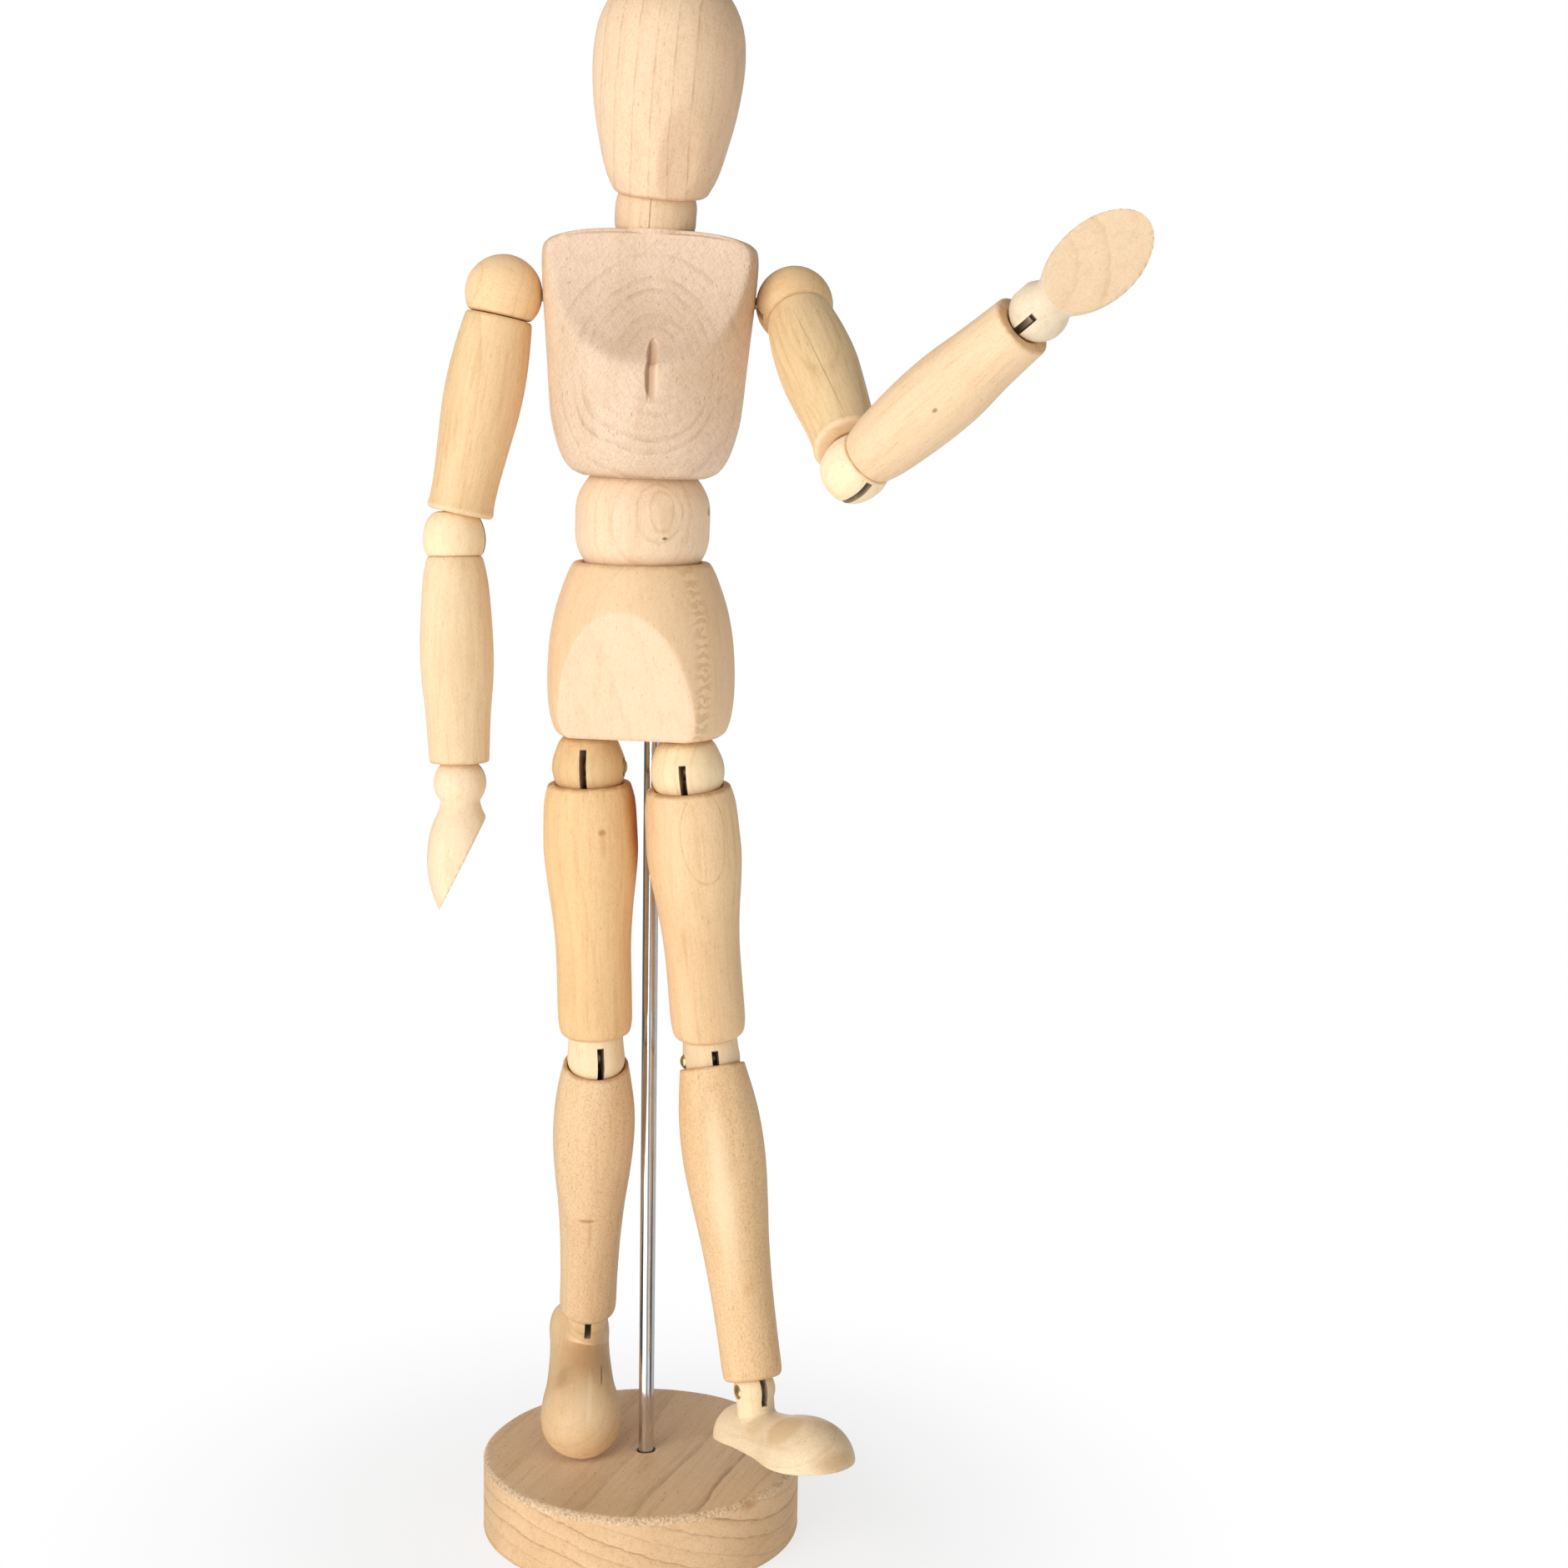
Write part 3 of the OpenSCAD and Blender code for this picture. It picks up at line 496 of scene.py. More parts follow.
    # single marks
    extra = []
    for mk in marks:
        d = spot(g, P, mk["at"], mk["n"], mk.get("up", (0, 0, 1)), mk["w"], mk["h"], mk.get("deep", 5.0))
        jig = g.math("ADD", d, g.math("MULTIPLY", g.math("SUBTRACT", g.noise(S, mk.get("wob", 0.25), 3.0, 0.6), 0.5), mk.get("jit", 0.25)))
        kind = mk["kind"]
        if kind == "oval":
            half = mk.get("line", 0.05)
            f = g.math("MULTIPLY", g.step(jig, 1 - 2.2 * half, 1.0), g.step(jig, 1.0, 1 + half, 1.0, 0.0))
            f = g.math("MULTIPLY", f, g.step(g.noise(S, 0.45, 2.0, 0.6), 0.3, 0.6, 0.35, 1.0))
        elif kind == "knot":
            f = g.step(jig, 0.25, 1.0, 1.0, 0.0)
        elif kind == "haze":
            f = g.step(jig, 0.2, 1.15, 1.0, 0.0)
        else:
            f = g.step(jig, 0.7, 1.05, 1.0, 0.0)
        f = g.math("MULTIPLY", f, mk.get("amount", 0.6), True)
        col = g.mix(f, col, mk["tone"])
        if mk.get("sunk"):
            extra.append((f, mk["sunk"]))
    # rims: end grain drinks dirt and glue, or is torn pale
    z = g.split(P)[2]
    for z0, width, amount, tint in rims:
        near = g.step(g.math("ABSOLUTE", g.math("SUBTRACT", z, z0)), 0.0, width, 1.0, 0.0)
        ragged = g.step(g.noise(S, 0.55, 4.0, 0.65), 0.25, 0.6)
        col = g.mix(g.math("MULTIPLY", g.math("MULTIPLY", near, ragged), amount, True), col, tint)
    # torn pale edge of a saw slot; painted shade darkens the slot's inner walls
    if slot is not None:
        xyz = g.split(P)
        lo, hi = slot
        span = g.math("MULTIPLY", g.step(xyz[2], lo - 0.25, lo), g.step(xyz[2], hi, hi + 0.25, 1.0, 0.0))
        off = g.math("ABSOLUTE", xyz[0])
        edge = g.math("MULTIPLY", g.step(off, slot_w / 2 + 0.02, slot_w / 2 + 0.32, 1.0, 0.0), g.step(g.noise(S, 1.6, 3.0, 0.6), 0.32, 0.62))
        col = g.mix(g.math("MULTIPLY", g.math("MULTIPLY", edge, span), 0.55), col, (0.90, 0.80, 0.62, 1.0))
        inside = g.step(off, slot_w / 2 + 0.015, slot_w / 2 + 0.07, 1.0, 0.0)
        col = g.mix(g.math("MULTIPLY", g.math("MULTIPLY", inside, span), 0.75), col, slot_shade)
    # sheen and relief
    sand = g.noise(g.vec("MULTIPLY", S, (0.25, 0.25, 3.0)), 1.1, 3.0, 0.6)
    height = g.math("ADD", g.math("MULTIPLY", thin, 0.5), g.math("MULTIPLY", coarse, 0.55))
    height = g.math("ADD", height, g.math("MULTIPLY", sand, 0.25))
    height = g.math("ADD", height, g.math("MULTIPLY", grit, 0.7 * speckle))
    height = g.math("SUBTRACT", height, g.math("MULTIPLY", dash, 0.6))
    height = g.math("SUBTRACT", height, g.math("MULTIPLY", late, 0.25))
    for f, amount in extra:
        height = g.math("SUBTRACT", height, g.math("MULTIPLY", f, amount))
    bp = g.node("ShaderNodeBump")
    bp.inputs["Strength"].default_value = bump
    bp.inputs["Distance"].default_value = 0.00009
    g.put(bp.inputs["Height"], height)
    bs = g.node("ShaderNodeBsdfPrincipled")
    bs.inputs["Specular IOR Level"].default_value = 0.32
    g.put(bs.inputs["Base Color"], col)
    g.put(bs.inputs["Roughness"], g.step(g.math("ADD", g.math("MULTIPLY", coarse, 0.6), g.math("MULTIPLY", sand, 0.4)), 0.25, 0.75, rough + 0.09, rough - 0.07))
    g.put(bs.inputs["Normal"], bp.outputs["Normal"])
    out = g.node("ShaderNodeOutputMaterial")
    g.put(out.inputs["Surface"], bs.outputs["BSDF"])
    return g.mat


def metal(name, tone, dull, seed, rough=0.2, grain=(1.0, 1.0, 0.04), tarnish=0.4, bump=0.25):
    """Drawn or stamped metal: fine drawing lines, dull patches, small scratches."""
    g = Net(name)
    tc = g.node("ShaderNodeTexCoord")
    P = g.vec("ADD", g.vec("MULTIPLY", tc.outputs["Object"], (1000.0, 1000.0, 1000.0)), (seed * 3.3, seed * 5.1, seed * 1.9))
    lines = g.noise(g.vec("MULTIPLY", P, grain), 5.0, 4.0, 0.6)
    patch = g.noise(P, 0.35, 4.0, 0.6)
    pits = g.noise(P, 3.0, 2.0, 0.6)
    col = g.mix(g.math("MULTIPLY", g.step(patch, 0.42, 0.7), tarnish), tone, dull)
    col = g.mix(0.5, col, g.ramp(lines, [(0.3, (0.86, 0.86, 0.86, 1.0)), (0.6, (1.0, 1.0, 1.0, 1.0))]), "MULTIPLY")
    col = g.mix(g.step(pits, 0.66, 0.74, 0.0, 0.5), col, dull)
    bp = g.node("ShaderNodeBump")
    bp.inputs["Strength"].default_value = bump
    bp.inputs["Distance"].default_value = 0.00002
    g.put(bp.inputs["Height"], g.math("ADD", g.math("MULTIPLY", lines, 0.7), g.math("MULTIPLY", pits, 0.3)))
    bs = g.node("ShaderNodeBsdfPrincipled")
    bs.inputs["Metallic"].default_value = 1.0
    g.put(bs.inputs["Base Color"], col)
    g.put(bs.inputs["Roughness"], g.step(g.math("ADD", g.math("MULTIPLY", patch, 0.5), g.math("MULTIPLY", lines, 0.5)), 0.3, 0.7, rough - 0.05, rough + 0.12))
    g.put(bs.inputs["Normal"], bp.outputs["Normal"])
    out = g.node("ShaderNodeOutputMaterial")
    g.put(out.inputs["Surface"], bs.outputs["BSDF"])
    return g.mat


BROWN = rgb(120, 78, 40)
UMBER = rgb(92, 58, 30)
TAN = rgb(196, 150, 98)
CREAM = rgb(250, 234, 205)

# ------------------------------------------------------------------ stand
top_r = base_d / 2


def base_rows():
    seg = 220
    th = np.linspace(0, 2 * math.pi, seg, endpoint=False)
    c, s_ = np.cos(th), np.sin(th)
    wob = 0.45 * np.sin(3 * th + 0.6) + 0.3 * np.sin(7 * th + 2.1) + 0.25 * np.sin(13 * th + 4.0)
    bevel = base_bevel * (1.0 + 0.25 * wob)
    rows = [np.array([[0, 0, 0.0]])]

    def ring(r, z):
        r = np.broadcast_to(r, th.shape)
        z = np.broadcast_to(z, th.shape)
        rows.append(np.c_[r * c, r * s_, z])

    for r in (8.0, 18.0, 26.0, top_r - 0.9):
        ring(r, 0.0)
    for k in range(5):
        a = math.radians(-90 + 22.5 * k)
        ring(top_r - 0.5 + 0.5 * math.cos(a), 0.5 + 0.5 * math.sin(a))
    for z in np.linspace(1.2, base_t - 1.6, 14):
        ring(top_r - 0.02 - 0.03 * (1 + np.sin(5 * th + z) * np.sin(0.9 * z + 2 * th)) / 2, z)
    for k in range(8):
        t = k / 7
        # between a straight bevel and a round edge
        x = 1 - math.cos(t * math.pi / 2)
        y = math.sin(t * math.pi / 2)
        u = 0.55 * x + 0.45 * t
        v = 0.55 * y + 0.45 * t
        ring(top_r - bevel * u, base_t - bevel * (1 - v))
    for r in (top_r - 1.6, top_r - 3.0, 26.0, 22.0, 18.0, 14.0, 10.0, 6.0, 3.0):
        ring(r, base_t)
    rows.append(np.array([[0, 0, base_t]]))
    return rows


def base_over(g, P, S, col):
    """Crumbly pale bevel, chipped pale edge of the rod hole, painted shade in the gap round the rod inside the hole."""
    xyz = g.split(P)
    r = g.vec("LENGTH", g.join(xyz[0], xyz[1], 0.0))
    rag = g.math("MULTIPLY", g.math("SUBTRACT", g.noise(S, 0.8, 4.0, 0.65), 0.5), 2.4)
    band = g.math("MULTIPLY", g.step(g.math("ADD", r, rag), 30.0, 30.8), g.step(g.math("ADD", xyz[2], rag), 13.0, 14.0))
    crumbs = g.noise(S, 2.0, 3.0, 0.7)
    col = g.mix(g.math("MULTIPLY", band, 0.7), col, g.ramp(crumbs, [(0.36, rgb(166, 128, 90)), (0.5, rgb(220, 190, 154)), (0.68, rgb(242, 220, 190))]))
    hole = g.vec("LENGTH", g.join(g.math("SUBTRACT", xyz[0], rod_x), xyz[1], 0.0))
    chip = g.step(g.math("ADD", hole, g.math("MULTIPLY", rag, 0.3)), 2.0, 2.7, 0.75, 0.0)
    col = g.mix(chip, col, rgb(232, 206, 172))
    # painted shade: the hole round the rod is darkened
    return g.mix(g.step(hole, 1.85, 2.0, 0.8, 0.0), col, rgb(60, 40, 26))


# the boards' layers lie nearly flat, tipped so that a few of them run out on the top
M_BASE = wood("base_wood", rgb(228, 191, 148), rgb(146, 102, 66), 3, pith=(-23.4, 87.0, 0), axis=(0, 0, 1), period=3.3, phase=0.35, ring=0.66, warp=1.7,
              fibre=0.75, fleck=0.55, blotch=0.55, turn=(90, -21.2, 0), speckle=0.5, rough=0.62, bump=0.8, line=0.07, broken=0.45, over=base_over,
              marks=[dict(kind="haze", at=(20.5, -23.9, 14.0), n=(0.65, -0.76, 0.3), w=3.0, h=1.1, tone=rgb(182, 122, 66), amount=0.55, jit=0.5, wob=0.5)],
              rims=[(0.2, 0.9, 0.4, rgb(160, 124, 86))])
piece("base", base_rows(), M_BASE, [drill((rod_x, 0, base_t - 6), (rod_x, 0, base_t + 2), rod_d / 2 + 0.13),
                                               pebble((rod_x - 0.1, -0.15, base_t + 0.15), (2.15, 2.0, 0.75))], sharp=50)

ROD_TOP = pelvis_z + 18
rod_prof = path([[[0, base_t - 12]], [[rod_d / 2, base_t - 12]] + [[rod_d / 2, z] for z in np.linspace(base_t - 8, ROD_TOP - 4, 40)] + [[rod_d / 2, ROD_TOP]], [[0, ROD_TOP]]], [0.3, 0.3])
th96 = 72
rod_rows = []
for r, z in rod_prof:
    if r < 1e-4:
        rod_rows.append(np.array([[rod_x, 0, z]]))
    else:
        t = np.linspace(0, 2 * math.pi, th96, endpoint=False)
        rr = r * (1 - 0.0015 * (1 + np.sin(0.21 * z + 2 * t)))
        rod_rows.append(np.c_[rod_x + rr * np.cos(t), rr * np.sin(t), np.full(th96, z)])
F["support_rod"] = Matrix.Identity(4)
M_ROD = metal("rod_steel", (0.72, 0.72, 0.73, 1), (0.50, 0.50, 0.51, 1), 2, rough=0.07, grain=(1.0, 1.0, 0.02), tarnish=0.35, bump=0.1)
piece("support_rod", rod_rows, M_ROD)

# ------------------------------------------------------------------ trunk
# pelvis: turned block with a flat sanded on the front
r0, h0 = pelvis_d / 2, pelvis_h
prof = curve([[0.86 * r0, 0], [0.915 * r0, 0.025 * h0], [0.96 * r0, 0.09 * h0], [0.992 * r0, 0.2 * h0], [r0, 0.36 * h0], [0.982 * r0, 0.53 * h0],
              [0.945 * r0, 0.66 * h0], [0.89 * r0, 0.78 * h0], [0.79 * r0, 0.93 * h0], [0.72 * r0, h0]], 8)
seat_in = math.sqrt(13.5 ** 2 - (waist_z - h0) ** 2)
prof = path([prof, line([0.72 * r0, h0], [seat_in, h0], 3), arc(waist_z, 13.5, h0, waist_z - 13.5, 16)], [0.55, 0.3])
seg = 176
th = np.linspace(0, 2 * math.pi, seg, endpoint=False)
rows = [np.array([[0, 0, 0.0]])]


def plane_cut(d, ang=0.0):
    """Distance along each ray to a plane at distance d toward -Y, turned by ang."""
    face = np.cos(th - (-math.pi / 2 + ang))
    return np.where(face > 0.02, d / np.maximum(face, 0.02), 1e3)


def flat_front(r, d, k):
    """Round section of radius r cut by a plane at distance d toward -Y, with a soft edge."""
    return smin(np.full(seg, float(r)), plane_cut(d), k)


for f in (0.25, 0.5, 0.75, 0.92):
    rr = flat_front(0.86 * r0, 10.2, 0.28) * f
    rows.append(np.c_[rr * np.cos(th), rr * np.sin(th), np.zeros(seg)])
for i, (r, z) in enumerate(prof):
    if r < 1e-3:
        rows.append(np.array([[0, 0, z]]))
        continue
    inner = i > 20 and z < h0 - 0.01 and r < seat_in and prof[i - 1][0] >= r and z > waist_z - 13.6 and i > len(prof) - 18
    rr = np.full(seg, float(r)) if inner else flat_front(r, 10.2 + z * math.tan(math.radians(13.8)), 0.28)
    ring3 = np.c_[rr * np.cos(th), rr * np.sin(th), np.full(seg, z)]
    rr = rr + 0.03 * (lumps(ring3, 11, 12.0) - 0.6)
    rows.append(np.c_[rr * np.cos(th), rr * np.sin(th), np.full(seg, z)])
hip_at = {sd: T(POSE[sd]["s"] * hip_x, -hip_y, -hip_drop) @ R("Y", -POSE[sd]["s"] * POSE[sd]["splay"]) for sd in POSE}
tools = [drill((0, rod_back, -2), (0, rod_back, 18.4), rod_d / 2 + 0.06)]
for sd in POSE:
    tools.append(drill(hip_at[sd] @ Vector((0, 0, 2)), hip_at[sd] @ Vector((0, 0, 16.5)), 2.26))
def pelvis_over(g, P, S, col):
    """Freshly sanded pale flat; the turned skin is yellower, with a curly figure on one side."""
    x, y, z = g.split(P)[:3]
    lead = g.math("SUBTRACT", g.math("MULTIPLY", y, -1.0), g.math("ADD", g.math("MULTIPLY", z, 0.2456), 10.2))
    flat = g.step(lead, -0.30, -0.12)
    skin = g.mix(1.0, col, (0.965, 0.895, 0.795, 1.0), "MULTIPLY")
    t = g.math("ADD", g.math("ADD", g.math("MULTIPLY", x, 0.5), g.math("MULTIPLY", y, 0.86)), 0.9)
    wav = g.noise(S, 0.42, 3.0, 0.6)
    zone = g.math("MULTIPLY", g.step(g.math("ABSOLUTE", g.math("ADD", t, g.math("MULTIPLY", wav, 1.2))), 0.5, 2.6, 1.0, 0.0), g.step(x, 6.0, 9.0))
    rung = g.math("SINE", g.math("ADD", g.math("MULTIPLY", z, 3.3), g.math("MULTIPLY", wav, 16.0)))
    skin = g.mix(g.math("MULTIPLY", zone, 0.55), skin, g.mix(g.step(rung, -0.5, 0.7), g.mix(1.0, skin, (0.80, 0.72, 0.62, 1.0), "MULTIPLY"), g.mix(1.0, skin, (1.10, 1.12, 1.15, 1.0), "MULTIPLY")))
    return g.mix(flat, skin, g.mix(1.0, col, (1.0, 0.955, 0.95, 1.0), "MULTIPLY"))


M_PELVIS = wood("pelvis_wood", rgb(240, 212, 178), rgb(205, 168, 124), 5, pith=(-34, 30, 0), axis=(0.04, 0.02, 1), period=4.6, phase=0.3, ring=0.22, warp=1.8,
                fibre=0.42, fleck=0.35, blotch=0.35, speckle=0.34, rough=0.6, over=pelvis_over,
                rims=[(h0, 1.1, 0.5, rgb(190, 148, 100)), (0.0, 0.8, 0.35, rgb(180, 140, 96))])
piece("pelvis", rows, M_PELVIS, tools, sharp=46)

# waist bead
zc = math.sqrt(waist_r ** 2 - 12.5 ** 2)
prof = path([[[0, -10.5]], arc(0, waist_r, -10.5, -zc, 14), line([12.5, -zc], [12.5, zc], 6), arc(0, waist_r, zc, 10.5, 14), [[0, 10.5]]], [0.5, 1.6, 1.6, 0.5])
tools = [saw_box((-4.6, -slot_w / 2, -12), (4.6, slot_w / 2, -pin_spread), 4, 0.02), drill((0, -slot_w / 2 - 0.06, -pin_spread), (0, slot_w / 2 + 0.06, -pin_spread), 2.3),
         saw_box((-slot_w / 2, -4.6, pin_spread), (slot_w / 2, 4.6, 12), 5, 0.02), drill((-slot_w / 2 - 0.06, 0, pin_spread), (slot_w / 2 + 0.06, 0, pin_spread), 2.3),
         drill((0, -6.1, -pin_spread), (0, 14, -pin_spread), 0.83, 37), drill((-6.1, 0, pin_spread), (14, 0, pin_spread), 0.83, 37)]
M_WAIST = wood("waist_wood", rgb(240, 211, 178), rgb(206, 166, 118), 7, pith=(34, -54, 0), axis=(0.0, 0.03, 1), period=2.5, phase=0.35, ring=0.3, warp=1.0,
               fibre=0.45, fleck=0.3, blotch=0.5, speckle=0.4,
               marks=[dict(kind="oval", at=(6.1, -10.9, 2.4), n=(0.5, -0.86, 0.1), w=4.2, h=5.5, tone=rgb(190, 144, 96), amount=0.32, line=0.07, jit=0.7, wob=0.14),
                      dict(kind="oval", at=(6.4, -10.75, 2.6), n=(0.5, -0.86, 0.1), w=2.4, h=3.6, tone=rgb(196, 150, 100), amount=0.32, line=0.1, jit=0.7, wob=0.18),
                      dict(kind="oval", at=(5.0, -11.4, 1.4), n=(0.42, -0.9, 0.1), w=7.4, h=9.5, deep=9, tone=rgb(196, 150, 100), amount=0.28, line=0.05, jit=0.6, wob=0.1),
                      dict(kind="haze", at=(6.6, -10.6, 2.4), n=(0.5, -0.86, 0.1), w=1.9, h=2.9, tone=rgb(228, 192, 148), amount=0.35, jit=0.5, wob=0.3),
                      dict(kind="knot", at=(6.82, -10.47, -2.13), n=(0.53, -0.84, 0), w=0.75, h=0.4, tone=UMBER, amount=0.8, jit=0.5, wob=0.8)])
piece("waist", turned_rows(prof, 144, 12, 0.03), M_WAIST, tools)

# chest: turned block, hollow sanded on the upper front, softly domed top
rc = chest_d / 2
hc = chest_h
side = curve([[11.4, 0], [13.7, 1.1], [0.79 * rc, 4], [0.87 * rc, 9.2], [0.9 * rc, 13.4], [0.93 * rc, 20.3], [0.962 * rc, 27.7], [0.988 * rc, 34],
              [rc, 38.8], [0.985 * rc, hc - 3.3], [0.94 * rc, hc - 2.3], [0.885 * rc, hc - 1.7], [0.76 * rc, hc - 0.95], [0.62 * rc, hc - 0.45], [0.4 * rc, hc - 0.12], [0, hc]], 8)
sr, sz = np.array([q[0] for q in side]), np.array([q[1] for q in side])
cap_r_ = 0.885 * rc
top_part = [q for q in side if q[1] >= hc - 1.7001]
tr, tz = np.array([q[0] for q in top_part])[::-1], np.array([q[1] for q in top_part])[::-1]
seg = 208
th = np.linspace(0, 2 * math.pi, seg, endpoint=False)
front = np.cos(th + math.pi / 2)


def chest_r(z):
    z = np.broadcast_to(np.asarray(z, float), th.shape)
    r = np.interp(z, sz, sr)
    dz = np.clip(40.2 ** 2 - (z - 48.8) ** 2, 0, None)
    depth = 46.8 - np.sqrt(dz)
    cut = np.where(front > 0.02, depth / np.maximum(front, 0.02), 1e3)
    cut = np.where(dz > 0, cut, 1e3)
    return smin(r, cut, 1.1)


def dome(r):
    return np.interp(np.minimum(r, cap_r_), tr, tz)


zt = np.full(seg, 42.0)
for _ in range(30):
    zt = 0.5 * zt + 0.5 * dome(chest_r(zt))
rows = []
# seat for the waist bead, from its middle to the lower rim
low_in = math.sqrt(13.5 ** 2 - chest_z ** 2)
for r, z in path([arc(-chest_z, 13.5, 13.5 - chest_z, 0.0, 14), line([low_in, 0], [11.4, 0], 2)], [0.25]):
    rows.append(np.array([[0, 0, z]]) if r < 1e-3 else np.c_[r * np.cos(th), r * np.sin(th), np.full(seg, z)])
edge_r = chest_r(zt)
e = 0.03 + 0.75 * np.clip((cap_r_ - edge_r) / 2.5, 0, 1)
for v in np.concatenate([np.linspace(0.0, 0.06, 8)[1:], np.linspace(0.06, 0.9, 56)[1:], np.linspace(0.9, 1.0, 14)[1:]]):
    z = v * (zt - 1.25 * e)
    rr = chest_r(z)
    rr = rr + 0.03 * (lumps(np.c_[rr * np.cos(th), rr * np.sin(th), z], 17, 14.0) - 0.6)
    rows.append(np.c_[rr * np.cos(th), rr * np.sin(th), z])
for k in range(1, 8):
    a = math.pi / 2 * k / 7
    rr = edge_r - e * (1 - math.cos(a))
    zz = np.minimum(dome(edge_r - e) - e * (1 - math.sin(a)), dome(rr))
    rows.append(np.c_[rr * np.cos(th), rr * np.sin(th), zz])
inner = math.sqrt(8.0 ** 2 - (neck_z - dome(np.array(7.6))) ** 2)
ci = np.c_[neck_x + inner * np.cos(th), inner * np.sin(th)]
out_xy = rows[-1][:, :2]
for t in np.linspace(0, 1, 12)[1:]:
    xy = out_xy * (1 - t) + ci * t
    rows.append(np.c_[xy, dome(np.hypot(xy[:, 0], xy[:, 1]))])
zi = float(rows[-1][:, 2].mean())
for q, z in arc(neck_z, 8.0, zi, neck_z - 8.0, 9)[1:]:
    rows.append(np.array([[neck_x, 0, z]]) if q < 1e-3 else np.c_[neck_x + q * np.cos(th), q * np.sin(th), np.full(seg, z)])
tools = [drill((-25, 0, shoulder_z), (25, 0, shoulder_z), 1.26), drill((0, 0, 3.5), (0, 0, 18), 1.36),
         pebble((1.6, -18.75, 18.3), (1.5, 1.6, 4.8)), pebble((1.55, -16.85, 22.3), (1.2, 1.15, 3.8), 41.0)]


def chest_over(g, P, S, col):
    """Pinkish sanded hollow; the turned skin round it is yellower and smoother."""
    x, y, z = g.split(P)[:3]
    far = g.vec("LENGTH", g.join(0.0, g.math("ADD", y, 46.8), g.math("SUBTRACT", z, 48.8)))
    hollow = g.step(far, 40.22, 40.42, 1.0, 0.0)
    # fine crossing sanding scratches
    for lean_, far_ in ((0.5, 3.1), (-0.75, 7.7)):
        line_ = g.noise(g.join(g.math("ADD", g.math("MULTIPLY", x, 2.4), g.math("MULTIPLY", z, 2.4 * lean_)), g.math("MULTIPLY", g.math("SUBTRACT", z, g.math("MULTIPLY", x, lean_)), 0.22), far_), 1.3, 3.0, 0.6)
        col = g.mix(0.6, col, g.ramp(line_, [(0.32, (0.90, 0.87, 0.83, 1.0)), (0.5, (1.0, 1.0, 1.0, 1.0)), (0.68, (1.07, 1.08, 1.09, 1.0))]), "MULTIPLY")
    skin = g.mix(1.0, col, (0.985, 0.985, 0.975, 1.0), "MULTIPLY")
    side_ = g.step(g.math("ABSOLUTE", x), 13.5, 18.5)
    skin = g.mix(side_, skin, g.mix(1.0, skin, (1.0, 0.975, 0.91, 1.0), "MULTIPLY"))
    return g.mix(hollow, skin, g.mix(1.0, col, (1.0, 0.985, 0.985, 1.0), "MULTIPLY"))


def chest_front(g, P):
    """The ringed figure belongs to a burl in the front of the block."""
    x, y, z = g.split(P)[:3]
    return g.math("MULTIPLY", g.step(y, -9.5, -3.0, 1.0, 0.0), g.step(g.math("ABSOLUTE", g.math("SUBTRACT", z, 19.6)), 2.0, 9.0, 0.25, 1.0))


M_CHEST = wood("chest_wood", rgb(229, 202, 176), rgb(152, 112, 88), 9, pith=(1.5, 0, 19.6), axis=(0.02, 1, 0.03), period=2.3, phase=0.1, ring=0.25, warp=4.2, wide=1.2,
               fibre=0.34, fleck=0.45, blotch=0.75, speckle=0.6, rough=0.6, bump=0.8, line=0.2, broken=0.85, gap=0.3, vary=0.05, only=chest_front, over=chest_over,
               rims=[(0.0, 0.9, 0.5, rgb(180, 138, 96))],
               # the first five marks are painted light in the gouges: two soft browns darken the hollows as painted
               # shade, two dark lines are painted shade on their left walls, the pale line is a painted highlight on
               # the right wall
               marks=[dict(kind="soft", at=(1.6, -18.0, 18.3), n=(0.05, -1, 0), w=1.15, h=4.9, deep=2.2, tone=rgb(204, 164, 130), amount=0.6, jit=0.3, wob=0.5),
                      dict(kind="soft", at=(1.5, -16.0, 22.3), n=(0.05, -0.75, 0.66), up=(0, 0.66, 0.75), w=0.9, h=3.7, deep=1.8, tone=rgb(198, 160, 128), amount=0.6, jit=0.4, wob=0.5),
                      dict(kind="soft", at=(0.75, -18.2, 18.1), n=(0.05, -1, 0), w=0.45, h=4.5, deep=1.6, tone=rgb(132, 94, 62), amount=0.6, jit=0.4, wob=0.6),
                      dict(kind="soft", at=(0.95, -16.2, 22.0), n=(0.05, -0.75, 0.66), up=(0, 0.66, 0.75), w=0.3, h=3.4, deep=1.3, tone=rgb(140, 102, 68), amount=0.5, jit=0.5, wob=0.6),
                      dict(kind="soft", at=(2.3, -18.2, 18.3), n=(0.05, -1, 0), w=0.42, h=4.2, deep=1.6, tone=rgb(240, 212, 182), amount=0.5, jit=0.4, wob=0.6),
                      dict(kind="knot", at=(16.3, -10.2, 36.2), n=(0.85, -0.5, 0), up=(0.1, 0, 1), w=0.28, h=2.4, deep=2.5, tone=rgb(150, 106, 72), amount=0.6, jit=0.8, wob=0.9)])
piece("chest", rows, M_CHEST, tools, sharp=44)

